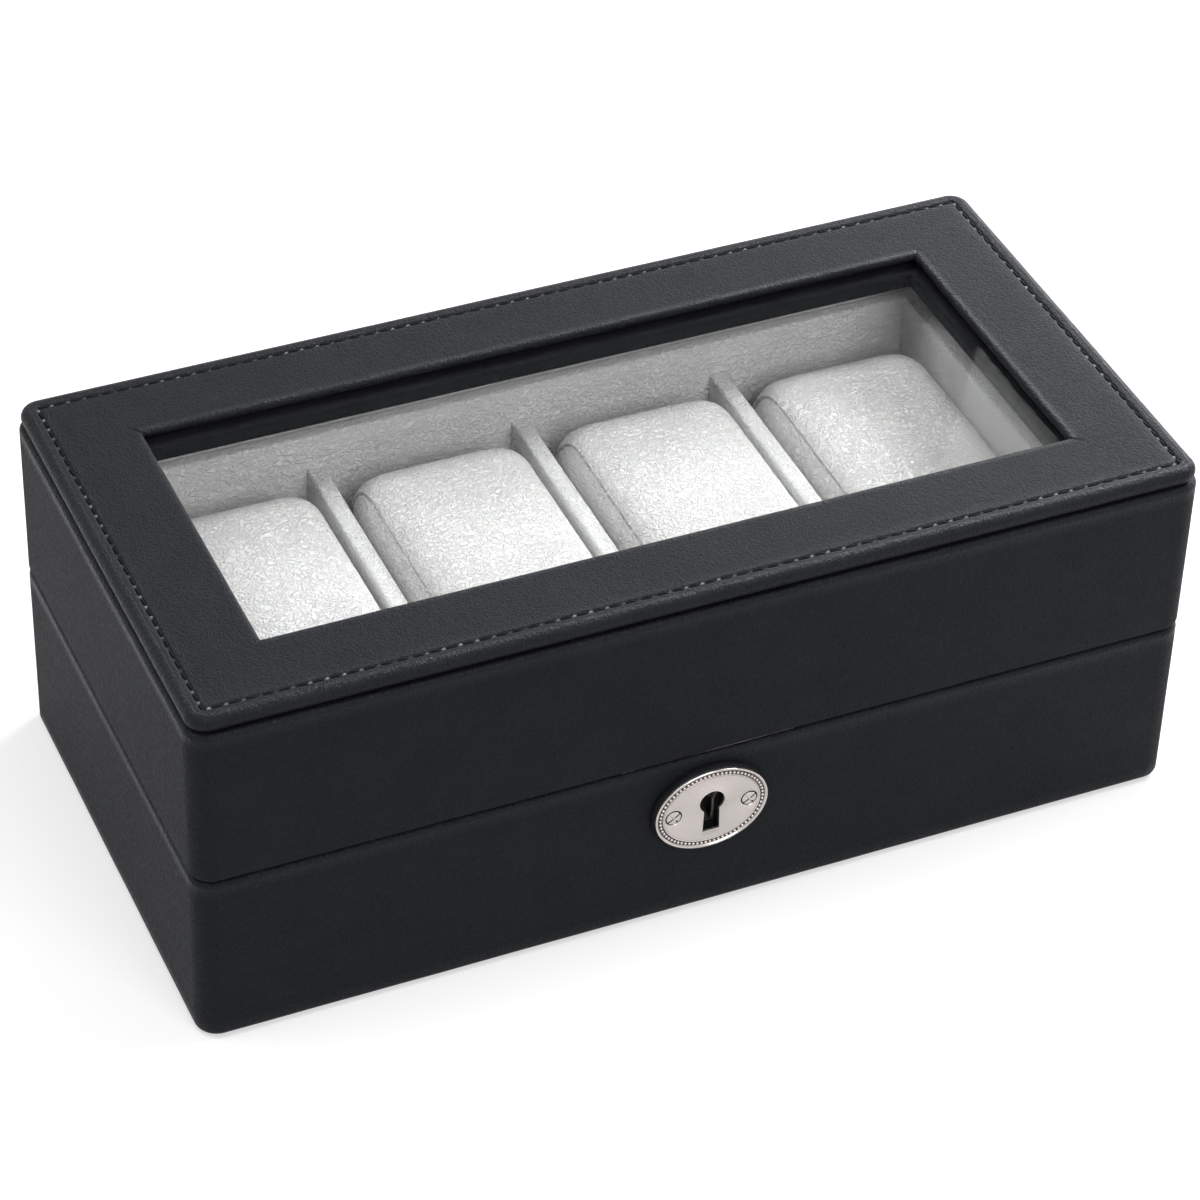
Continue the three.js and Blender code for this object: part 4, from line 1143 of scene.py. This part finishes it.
# %% Cushions: the foam's shape
foam_voxel = 2.8 * mm
foam_slack = 1.1 * mm
foam_swell = 1.3 * mm
foam_pressure = 4
foam_frames = 20
foam_neighbours = 6


def kept_mesh(piece):
    shown = piece.evaluated_get(bpy.context.evaluated_depsgraph_get())
    return bpy.data.meshes.new_from_object(shown)


def foam_blank(name):
    low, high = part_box(name)
    middle = (low + high) / 2
    half = (high - low) / 2
    mesh = nodes[name].data.copy()
    foam = new_object(f"{name}_foam", mesh)
    shrink = [(half[i] - foam_slack) / half[i] for i in range(3)]
    for point in mesh.vertices:
        point.co = [middle[i] + (point.co[i] - middle[i]) * shrink[i] for i in range(3)]
    remesh = foam.modifiers.new("even mesh", "REMESH")
    remesh.mode = "VOXEL"
    remesh.voxel_size = foam_voxel
    foam.data = kept_mesh(foam)
    foam.modifiers.clear()
    return foam


def blow_up(foam):
    start = [point.co.copy() for point in foam.data.vertices]
    cloth = foam.modifiers.new("cover", "CLOTH")
    cover = cloth.settings
    cover.quality = 6
    cover.mass = 0.25
    cover.tension_stiffness = 20
    cover.compression_stiffness = 20
    cover.bending_stiffness = 2
    cover.use_pressure = True
    cover.uniform_pressure_force = foam_pressure
    cover.effector_weights.gravity = 0
    cloth.point_cache.frame_start = 1
    cloth.point_cache.frame_end = foam_frames
    for number in range(1, foam_frames + 1):
        scene.frame_set(number)
    blown = kept_mesh(foam)
    foam.modifiers.clear()
    scene.frame_set(1)
    swell = []
    for point, before in zip(blown.vertices, start):
        step = point.co - before
        swell.append(step.normalized() * min(step.length, foam_swell))
    bpy.data.meshes.remove(blown)
    return swell


print(f"foam is blown up by at most {foam_swell / mm:.1f} mm")

# %% [markdown]
# ## Cushions: rows of the cover
#
# The cover is a mesh of rows, like the leatherette rings. Each row is the cushion's outline seen from the
# side, at one place along the section: out over the band, down the roll to the seam, and in over the side
# panel, which is domed. Points at even distances would leave too few at the seam, so the places are listed,
# and rows lie close together there, which keeps the drawn-in line sharp.

# %% Cushions: rows of the cover
roll_down = 2.6 * mm
roll_power = 8
seam_beyond = 0.3 * mm
seam_lower = 0.7 * mm
panel_end_share = 0.86
panel_dome = 1.8 * mm
panel_dome_share = 0.45
side_radius = 18.5 * mm
outline_steps = 260
band_places = (0, 0.1, 0.2, 0.3, 0.4, 0.5, 0.6, 0.7, 0.78, 0.85, 0.9, 0.94, 0.97)
seam_offsets = (-0.9, -0.6, -0.38, -0.22, -0.1, 0, 0.1, 0.22, 0.38, 0.6, 0.9)
panel_places = (0.12, 0.2, 0.32, 0.46, 0.62, 0.8, 1)
band_samples = 60
panel_samples = 30
arc_samples = 41


def walk_along(curve):
    return np.concatenate([[0], np.cumsum(np.linalg.norm(np.diff(curve, axis=0), axis=1))])


def points_at(wanted, walk, curve):
    return np.stack([np.interp(wanted, walk, column) for column in curve.T], 1)


def section_points(half, half_height):
    seam_x = half + seam_beyond
    shares = np.linspace(0, 1, band_samples)
    band = np.stack([shares * seam_x, roll_down * shares**roll_power], 1)
    seam = np.array([[seam_x, roll_down + seam_lower]])
    deep = half_height * panel_end_share - roll_down - seam_lower
    steps = np.linspace(0, 1, panel_samples)[1:]
    dome = seam_x + panel_dome * np.sin(np.minimum(steps / panel_dome_share, 1) * quarter_turn)
    panel = np.stack([dome, roll_down + seam_lower + steps * deep], 1)
    curve = np.concatenate([band, seam, panel])
    walk = walk_along(curve)
    seam_at = walk[len(band)]
    wanted = [seam_at * place for place in band_places]
    wanted = [place for place in wanted if place < seam_at + seam_offsets[0] * mm]
    wanted += [seam_at + offset * mm for offset in seam_offsets]
    rest = walk[-1] - wanted[-1]
    wanted += [wanted[-1] + rest * place for place in panel_places]
    return points_at(wanted, walk, curve), np.array(wanted) - seam_at


def side_outline(length, height, inset):
    long = length / 2 - inset
    tall = height / 2 - inset
    radius = max(min(side_radius - inset / 2, tall), least_corner)
    points = []
    for corner, (sign_y, sign_z) in enumerate([(1, 1), (-1, 1), (-1, -1), (1, -1)]):
        angles = (corner + np.linspace(0, 1, arc_samples)) * quarter_turn
        y = sign_y * (long - radius) + radius * np.cos(angles)
        z = sign_z * (tall - radius) + radius * np.sin(angles)
        points.append(np.stack([y, z], 1))
    outline = np.concatenate([*points, points[0][:1]])
    walk = walk_along(outline)
    steps = (np.arange(outline_steps) / outline_steps * walk[-1] - (tall - radius)) % walk[-1]
    return points_at(steps, walk, outline)


print(f"{len(seam_offsets)} rows within {seam_offsets[-1]} mm of each seam")

# %% [markdown]
# ## Cushions: the cover
#
# The rows are joined to a closed cover. Every point then moves as the foam beside it has swollen: the mean of
# its nearest points is taken, because a single one would leave steps. Last, the seam is sunk between the two
# pieces of suede, deep and narrow for the stitched line, wide and shallow for the pull of the thread. No
# point may sink below the cushion's foot, which rests on the tray floor.

# %% Cushions: the cover
top_below = 1.5 * mm
seam_depth = 0.7 * mm
seam_narrow = 0.22 * mm
seam_pull = 0.22 * mm
seam_wide = 2 * mm


def closing_faces(ring):
    half = len(ring) // 2
    faces = [(ring[0], ring[1], ring[-1]), (ring[half - 1], ring[half], ring[half + 1])]
    return faces + [(ring[step], ring[step + 1], ring[-step - 1], ring[-step]) for step in range(1, half - 1)]


def cover_mesh(name, low, high):
    high = high - Vector((0, 0, top_below))
    middle = (low + high) / 2
    spread = high - low
    places, from_seam = section_points(spread.x / 2, spread.z / 2)
    mirrored = places[:0:-1] * np.array([-1, 1])
    rows = np.concatenate([mirrored, places])
    numbers = np.concatenate([from_seam[:0:-1], from_seam])
    points = []
    for x, inset in rows:
        flat = side_outline(spread.y, spread.z, inset)
        across = np.full(outline_steps, middle.x + x)
        points.append(np.stack([across, middle.y + flat[:, 0], middle.z + flat[:, 1]], 1))
    count = len(rows)
    grid = np.arange(count * outline_steps).reshape(count, outline_steps)
    corners = [grid[:-1], np.roll(grid, -1, 1)[:-1], np.roll(grid, -1, 1)[1:], grid[1:]]
    faces = np.stack(corners, -1).reshape(-1, 4).tolist()
    faces += closing_faces(grid[0].tolist()) + closing_faces(grid[-1].tolist())
    cover = new_piece(f"sewn_{name}", np.concatenate(points), faces)
    face_outwards(cover)
    return cover, np.repeat(numbers, outline_steps)


def swollen(cover, foam, swell):
    tree = KDTree(len(foam.data.vertices))
    for number, point in enumerate(foam.data.vertices):
        tree.insert(point.co, number)
    tree.balance()
    for point in cover.data.vertices:
        near = tree.find_n(point.co, foam_neighbours)
        point.co += sum((swell[number] for _, number, _ in near), Vector()) / foam_neighbours
    cover.data.update()


def draw_in_seams(cover, from_seam, floor_height):
    normals = [point.normal.copy() for point in cover.data.vertices]
    narrow = seam_depth * np.exp(-((from_seam / seam_narrow) ** 2))
    wide = seam_pull * np.exp(-((from_seam / seam_wide) ** 2))
    for point, normal, depth in zip(cover.data.vertices, normals, narrow + wide):
        point.co -= normal * float(depth)
        point.co.z = max(point.co.z, floor_height)
    cover.data.update()


def sewn_cushion(number):
    name = f"cushion_{number}"
    low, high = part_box(name)
    cover, from_seam = cover_mesh(name, low, high)
    foam = foam_blank(name)
    swollen(cover, foam, blow_up(foam))
    bpy.data.objects.remove(foam)
    draw_in_seams(cover, from_seam, low.z)
    smooth_faces(cover, 70)
    seat(cover, f"watch_{name}", cushion_suede, "cushion_suede", name)
    points = np.array([point.co for point in cover.data.vertices])
    reach = (points.max(0) - points.min(0)) / mm
    print(f"{cover.name}: {reach[0]:.1f} by {reach[1]:.1f} by {reach[2]:.1f} mm")


for number in (1, 2, 3, 4):
    sewn_cushion(number)

# %% [markdown]
# ## Lock plate: its outlines
#
# The plate is a pressed oval with a keyhole, which is a circle with a foot that widens downwards. Both are
# drawn as loops of points at any inset and height, so that the same functions serve the plate's relief, its
# holes and the pad behind it. Pressing leaves the keyhole a hair wider than its nominal size.

# %% Lock plate: its outlines
plate_low, plate_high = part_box("lock_plate")
plate_centre = (plate_low + plate_high) / 2
plate_half_x = (plate_high.x - plate_low.x) / 2
plate_half_z = (plate_high.z - plate_low.z) / 2
plate_back = plate_high.y
oval_steps = 160
key_wide = 0.16 * mm
key_arc_steps = 40
key_side_steps = 6


def oval_loop(inset, height, centre=None, half=None):
    centre = centre or (plate_centre.x, plate_centre.z)
    half = half or (plate_half_x, plate_half_z)
    angles = np.arange(oval_steps) / oval_steps * full_turn
    x = centre[0] + (half[0] - inset) * np.cos(angles)
    z = centre[1] + (half[1] - inset) * np.sin(angles)
    return np.stack([x, np.full(oval_steps, plate_back - height), z], 1)


def keyhole_loop(extra, height):
    extra += key_wide
    radius = keyhole_round + extra
    waist = keyhole_waist / 2 + extra
    foot = keyhole_foot / 2 + extra
    drop = keyhole_drop + extra
    lean = math.asin(waist / radius)
    angles = np.linspace(lean - quarter_turn, 3 * quarter_turn - lean, key_arc_steps)
    points = [(radius * math.cos(angle), radius * math.sin(angle)) for angle in angles]
    corners = [points[-1], (-foot, -drop), (foot, -drop), points[0]]
    for (x0, z0), (x1, z1) in zip(corners, corners[1:]):
        for step in range(1, key_side_steps):
            points.append((x0 + (x1 - x0) * step / key_side_steps, z0 + (z1 - z0) * step / key_side_steps))
        points.append((x1, z1))
    points.pop()
    return np.array([(x, plate_back - height, key_axis.z + z) for x, z in points])


print(f"plate of {2 * plate_half_x / mm:.1f} by {2 * plate_half_z / mm:.1f} mm")

# %% [markdown]
# ## Lock plate: a sheet of loops
#
# Pressed metal is one sheet that goes up and down. Here it is built in the mesh editor from loops: two
# neighbours are joined by a band of faces, and a flat part with holes is filled from the loops round it,
# which no grid of rows could do. Each point carries its polish, which below 0 stands for painted shade,
# and beads are small domes of the same kind.

# %% Lock plate: a sheet of loops
class Sheet:
    """Loops of points, joined by bands or filled flat, that become one piece."""

    def __init__(self):
        self.shape = bmesh.new()
        self.polish_and_shade = self.shape.verts.layers.float.new("polish_and_shade")

    def loop(self, points, polish_and_shade=0.0):
        made = [self.shape.verts.new(point) for point in points]
        for point in made:
            point[self.polish_and_shade] = polish_and_shade
        return made

    def band(self, first, second):
        count = len(first)
        for at in range(count):
            after = (at + 1) % count
            self.shape.faces.new((first[at], first[after], second[after], second[at]))

    def bands(self, loops):
        for first, second in zip(loops, loops[1:]):
            self.band(first, second)

    def fill(self, *loops):
        edges = []
        for loop in loops:
            for at, point in enumerate(loop):
                ends = (point, loop[(at + 1) % len(loop)])
                edges.append(self.shape.edges.get(ends) or self.shape.edges.new(ends))
        bmesh.ops.triangle_fill(self.shape, edges=edges, use_beauty=True, use_dissolve=False)

    def dome(self, centre, radius, height, polish_and_shade, rings=4, sides=10):
        loops = []
        for ring in range(rings):
            angle = ring / rings * quarter_turn
            turn = np.arange(sides) / sides * full_turn
            reach = radius * math.cos(angle)
            x = centre[0] + reach * np.cos(turn)
            z = centre[2] + reach * np.sin(turn)
            y = np.full(sides, centre[1] - height * math.sin(angle))
            loops.append(self.loop(np.stack([x, y, z], 1), polish_and_shade))
        self.bands(loops)
        top = self.loop([(centre[0], centre[1] - height, centre[2])], polish_and_shade)[0]
        for at in range(sides):
            self.shape.faces.new((loops[-1][at], loops[-1][(at + 1) % sides], top))
        self.shape.faces.new(list(reversed(loops[0])))

    def piece(self, name):
        bmesh.ops.recalc_face_normals(self.shape, faces=self.shape.faces)
        return object_of(name, self.shape)


print("sheets are built loop by loop")

# %% [markdown]
# ## Lock plate: its relief
#
# From outside to inside come a narrow polished rim, a channel painted dark as painted shade with a row of
# beads in it, a thin ridge and the satin field, with the keyhole and two screw seats in it. A line of the
# plate's profile says how far in from the edge a loop lies and how high, both in millimetres, and how
# polished it is, where a value below 0 stands for painted shade. The keyhole and the seats have such
# profiles too. A bump would leave the rim and the beads without an outline and without a shadow, so all of
# it is real relief.

# %% Lock plate: its relief
rim_height = 0.9 * mm
channel_height = 0.42 * mm
field_height = 0.58 * mm
bead_radius = 0.44 * mm
bead_pitch = 1.16 * mm
bead_inset = 1.42 * mm
seat_radius = 2.3 * mm
seat_drop = 0.3 * mm
key_lip = 0.32 * mm
key_lip_rise = 0.12 * mm
# The third number is the polish. Below 0 it paints shade into the channel, the keyhole's wall and the seats.
plate_profile = (
    (0, 0, 0), (0, 0.55, 0.6), (0.06, 0.78, 1), (0.22, 0.9, 1), (0.46, 0.9, 1), (0.62, 0.8, 1),
    (0.8, 0.5, -0.6), (0.92, 0.42, -1), (1.92, 0.42, -1), (2.02, 0.5, -0.6),
    (2.12, 0.72, 1), (2.26, 0.72, 1), (2.4, 0.58, -0.5), (2.55, 0.58, 0),
)
key_profile = (
    (key_lip * 1.5, field_height, 0),
    (key_lip, field_height + key_lip_rise, 1),
    (key_lip * 0.35, field_height + key_lip_rise, 1),
    (0, field_height - key_lip_rise, -0.8),
    (0, 0, 0.3),
)
seat_profile = (
    (seat_radius + 0.12 * mm, field_height, 0.4),
    (seat_radius, field_height - 0.06 * mm, 1),
    (seat_radius - 0.1 * mm, field_height - seat_drop, -1),
    (seat_radius - 0.1 * mm, 0, -1),
)


def screw_middles():
    for side in ("left", "right"):
        low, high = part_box(f"lock_plate_screw_{side}")
        yield (low + high) / 2


plate = Sheet()
border = [plate.loop(oval_loop(inset * mm, rise * mm), polish_and_shade) for inset, rise, polish_and_shade in plate_profile]
plate.bands(border)
key_edge = [plate.loop(keyhole_loop(extra, rise), polish_and_shade) for extra, rise, polish_and_shade in key_profile]
plate.bands(key_edge)
seats_above = []
seats_below = []
for middle in screw_middles():
    centre = (middle.x, middle.z)
    seat_loops = []
    for reach, rise, polish_and_shade in seat_profile:
        seat_loops.append(plate.loop(oval_loop(0, rise, centre, (reach, reach)), polish_and_shade))
    plate.bands(seat_loops)
    seats_above.append(seat_loops[0])
    seats_below.append(seat_loops[-1])
plate.fill(border[-1], key_edge[0], *seats_above)
plate.fill(border[0], key_edge[-1], *seats_below)
bead_line = oval_loop(bead_inset, channel_height)
closed_line = np.concatenate([bead_line, bead_line[:1]])
bead_walk = walk_along(closed_line)
bead_count = round(bead_walk[-1] / bead_pitch)
bead_steps = np.arange(bead_count) / bead_count * bead_walk[-1]
for place in points_at(bead_steps, bead_walk, closed_line).tolist():
    plate.dome(place, bead_radius, rim_height - channel_height, 1)
beaded_plate = plate.piece("beaded_plate")
smooth_faces(beaded_plate, 50)
seat(beaded_plate, "base", nickel, "satin_nickel", "lock_plate")
print(f"{bead_count} beads round the plate")

# %% [markdown]
# ## Pad under the plate
#
# Between the plate and the case lies an oval pad, a thick disc covered in leatherette with a rolled edge.
# It shows as a dark step above and to the left of the plate. Its rows follow the oval like the plate's, and
# the keyhole goes through it as well.

# %% Pad under the plate
pad_low, pad_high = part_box("lock_plate_pad")
pad_half = ((pad_high.x - pad_low.x) / 2, (pad_high.z - pad_low.z) / 2)
pad_centre = ((pad_low.x + pad_high.x) / 2, (pad_low.z + pad_high.z) / 2)
pad_edge = 0.7 * mm
pad_edge_steps = 6
pad_tuck = 0.15 * mm
pad_tuck_rise = 0.2 * mm
pad_foot = plate_back - pad_high.y
pad_face = plate_back - pad_low.y
pad = Sheet()
pad_loops = [pad.loop(oval_loop(pad_tuck, pad_foot, pad_centre, pad_half))]
pad_loops.append(pad.loop(oval_loop(0, pad_foot + pad_tuck_rise, pad_centre, pad_half)))
for step in range(pad_edge_steps + 1):
    angle = step / pad_edge_steps * quarter_turn
    inset = pad_edge * (1 - math.cos(angle))
    rise = pad_face - pad_edge + pad_edge * math.sin(angle)
    pad_loops.append(pad.loop(oval_loop(inset, rise, pad_centre, pad_half)))
pad.bands(pad_loops)
pad_key = [pad.loop(keyhole_loop(cut_play, pad_face)), pad.loop(keyhole_loop(cut_play, pad_foot))]
pad.bands(pad_key)
pad.fill(pad_loops[-1], pad_key[0])
pad.fill(pad_loops[0], pad_key[-1])
plate_pad = pad.piece("plate_pad")
smooth_faces(plate_pad, 50)
seat(plate_pad, "base", leatherette, "leatherette", "lock_plate_pad")

# %% [markdown]
# ## Screws
#
# All the screws have a raised countersunk head. The two in the plate are crossed by two slots, the small
# ones in the hinges, the lock and the strike plate have one. A profile is turned round the screw's axis,
# and the slots are cut with blocks. Every size comes from the screw's own part of the frame, so one
# function makes all twelve and both in the plate.

# %% Screws
turning_steps = 36
head_rise = 0.16 * mm
slot_width = 0.45 * mm
slot_depth = 0.55 * mm
slot_turn = 35
slot_overrun = 1.1
screw_polish = 0.7


def turned(name, profile):
    points = []
    for radius, z in profile:
        for step in range(turning_steps):
            angle = step / turning_steps * full_turn
            points.append((radius * math.cos(angle), radius * math.sin(angle), z))
    piece = new_piece(name, points, tube_faces(len(profile), turning_steps))
    face_outwards(piece)
    return piece


def made_screw(name, out, slots, finish, slot_name, shank_share, body):
    low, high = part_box(name)
    spread = high - low
    axis = max(range(3), key=lambda at: abs(out[at]))
    head = min(spread[at] for at in range(3) if at != axis) / 2
    length = spread[axis]
    shank = head * shank_share
    profile = (
        (shank * 0.2, -length), (shank, -length + shank), (shank, -head * 0.62),
        (head * 0.97, -0.16 * mm), (head, -0.1 * mm), (head, -0.04 * mm), (head * 0.97, 0),
        (head * 0.8, head_rise * 0.4), (head * 0.5, head_rise * 0.8), (head * 0.2, head_rise),
        (head * 0.02, head_rise),
    )
    piece = turned(f"turned_{name}", [(radius, z - head_rise) for radius, z in profile])
    reach = head * slot_overrun
    cutters = []
    for number in range(slots):
        cutter = block("slot", (-reach, -slot_width / 2, -slot_depth), (reach, slot_width / 2, head_rise))
        cutter.data.transform(Matrix.Rotation(math.radians(slot_turn + 90 * number), 4, "Z"))
        cutters.append(cutter)
    cut_away(piece, cutters)
    centre = (low + high) / 2
    centre[axis] = high[axis] if out[axis] > 0 else low[axis]
    piece.data.transform(turned_to(out, centre))
    set_numbers(piece, "polish_and_shade", np.full(len(piece.data.vertices), screw_polish))
    smooth_faces(piece, 40)
    seat(piece, body, finish, slot_name, name)


for side in ("left", "right"):
    made_screw(f"lock_plate_screw_{side}", (0, -1, 0), 2, nickel, "satin_nickel", 0.4, "base")
    made_screw(f"lock_screw_{side}", (0, 0, 1), 1, steel, "plated_steel", 0.54, "base")
    made_screw(f"strike_screw_{side}", (0, 0, -1), 1, steel, "plated_steel", 0.5, "lid")
    for number in (1, 2):
        made_screw(f"hinge_{side}_base_screw_{number}", (0, 0, 1), 1, steel, "plated_steel", 0.54, "base")
        made_screw(f"hinge_{side}_lid_screw_{number}", (0, 0, -1), 1, steel, "plated_steel", 0.54, "lid")

# %% [markdown]
# ## Floor and background
#
# The case stands on a plain white sheet. The sheet is painted pale and lit like the case, so it takes the
# soft shadow. To make it as white as paper in a studio, it adds a little light of its own, but only for
# rays that come from the camera or from a mirror or through glass: it must not light the case from below.
# The background is white in the same way, and gives plain light to everything else.

# %% Floor and background
floor_reach = 4
floor_paint = (0.6, 0.6, 0.6)
floor_glow = 0.48
plain_light = (0.156, 0.158, 0.16)


def seen_rays(tree):
    path = add_node(tree, "ShaderNodeLightPath")
    first = maths(tree, "MAXIMUM", path.outputs["Is Camera Ray"], path.outputs["Is Glossy Ray"])
    return maths(tree, "MAXIMUM", first, path.outputs["Is Transmission Ray"])


floor_shape = bmesh.new()
bmesh.ops.create_grid(floor_shape, x_segments=8, y_segments=8, size=floor_reach)
floor = object_of("floor", floor_shape)
paper, paper_tree, paper_surface = new_finish("paper")
paper_inputs = {"Base Color": (*floor_paint, 1), "Roughness": 0.9, "Specular IOR Level": 0}
set_inputs(paper_tree, paper_surface, paper_inputs)
glow = add_node(paper_tree, "ShaderNodeEmission", {"Color": (1, 1, 1, 1)})
lit = maths(paper_tree, "MULTIPLY", seen_rays(paper_tree), floor_glow)
paper_tree.links.new(lit, glow.inputs["Strength"])
both = add_node(paper_tree, "ShaderNodeAddShader", {0: paper_surface.outputs[0], 1: glow.outputs[0]})
paper_tree.links.new(both.outputs[0], paper_tree.nodes["Material Output"].inputs["Surface"])
floor.data.materials.append(paper)
floor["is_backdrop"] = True

world = bpy.data.worlds.new("studio")
scene.world = world
world.use_nodes = True
sky = world.node_tree
sky.nodes.remove(sky.nodes["Background"])
plain = add_node(sky, "ShaderNodeBackground", {"Color": (*plain_light, 1), "Strength": 1})
white = add_node(sky, "ShaderNodeBackground", {"Color": (1, 1, 1, 1), "Strength": 1})
choice = add_node(sky, "ShaderNodeMixShader", {0: seen_rays(sky), 1: plain.outputs[0], 2: white.outputs[0]})
sky.links.new(choice.outputs[0], sky.nodes["World Output"].inputs["Surface"])
print(f"floor of {2 * floor_reach} m, plain light {plain_light[0]}")

# %% [markdown]
# ## Lamps
#
# A small lamp stands low behind the case on the right. The top panel mirrors it towards the camera, which
# gives the grey sheen there, and it draws the light lines on the rolled edges. A second one, higher on the
# right, brightens the right slopes of the cushions and throws the soft shadow to the left. Three broad ones
# further off, in front, on the left and above, keep the shaded sides from going black. Area lamps are used
# because their size sets how soft the shadows are. Each line gives the way to a lamp by two angles, clockwise
# from behind the case and up, then its distance and width in metres and its strength in watts.

# %% Lamps
lamps = (
    ("key lamp", 56, 28, 0.65, 0.3, 5.8),
    ("right lamp", 100, 45, 0.9, 0.3, 2.4),
    ("front lamp", 175, 38, 1.8, 1, 14),
    ("left lamp", -85, 60, 1.8, 1, 12),
    ("top lamp", 0, 88, 1.6, 1, 6),
)
aim = Vector((0, 0, 0.05))


def area_lamp(name, azimuth, elevation, distance, width, strength):
    lamp = new_object(name, bpy.data.lights.new(name, "AREA"))
    turn = math.radians(azimuth)
    rise = math.radians(elevation)
    way = Vector((math.sin(turn) * math.cos(rise), math.cos(turn) * math.cos(rise), math.sin(rise)))
    lamp.location = aim + way * distance
    lamp.rotation_mode = "QUATERNION"
    lamp.rotation_quaternion = (-way).to_track_quat("-Z", "Y")
    lamp.data.shape = "SQUARE"
    lamp.data.size = width
    lamp.data.energy = strength
    print(f"{name}: {strength} W at {distance} m")


for lamp in lamps:
    area_lamp(*lamp)
scene.view_settings.view_transform = "Standard"

# %% [markdown]
# ## Sizes
#
# Last, the dressed case is measured against the frame, and how far it has grown along each axis is printed
# in millimetres, so that a piece that stands too far out is found at once.

# %% Sizes
dressed_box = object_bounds()
grown = [(dressed_box[1][axis] - dressed_box[0][axis] - size[axis] * mm) / mm for axis in range(3)]
print("grown by", [round(value, 2) for value in grown], "mm")
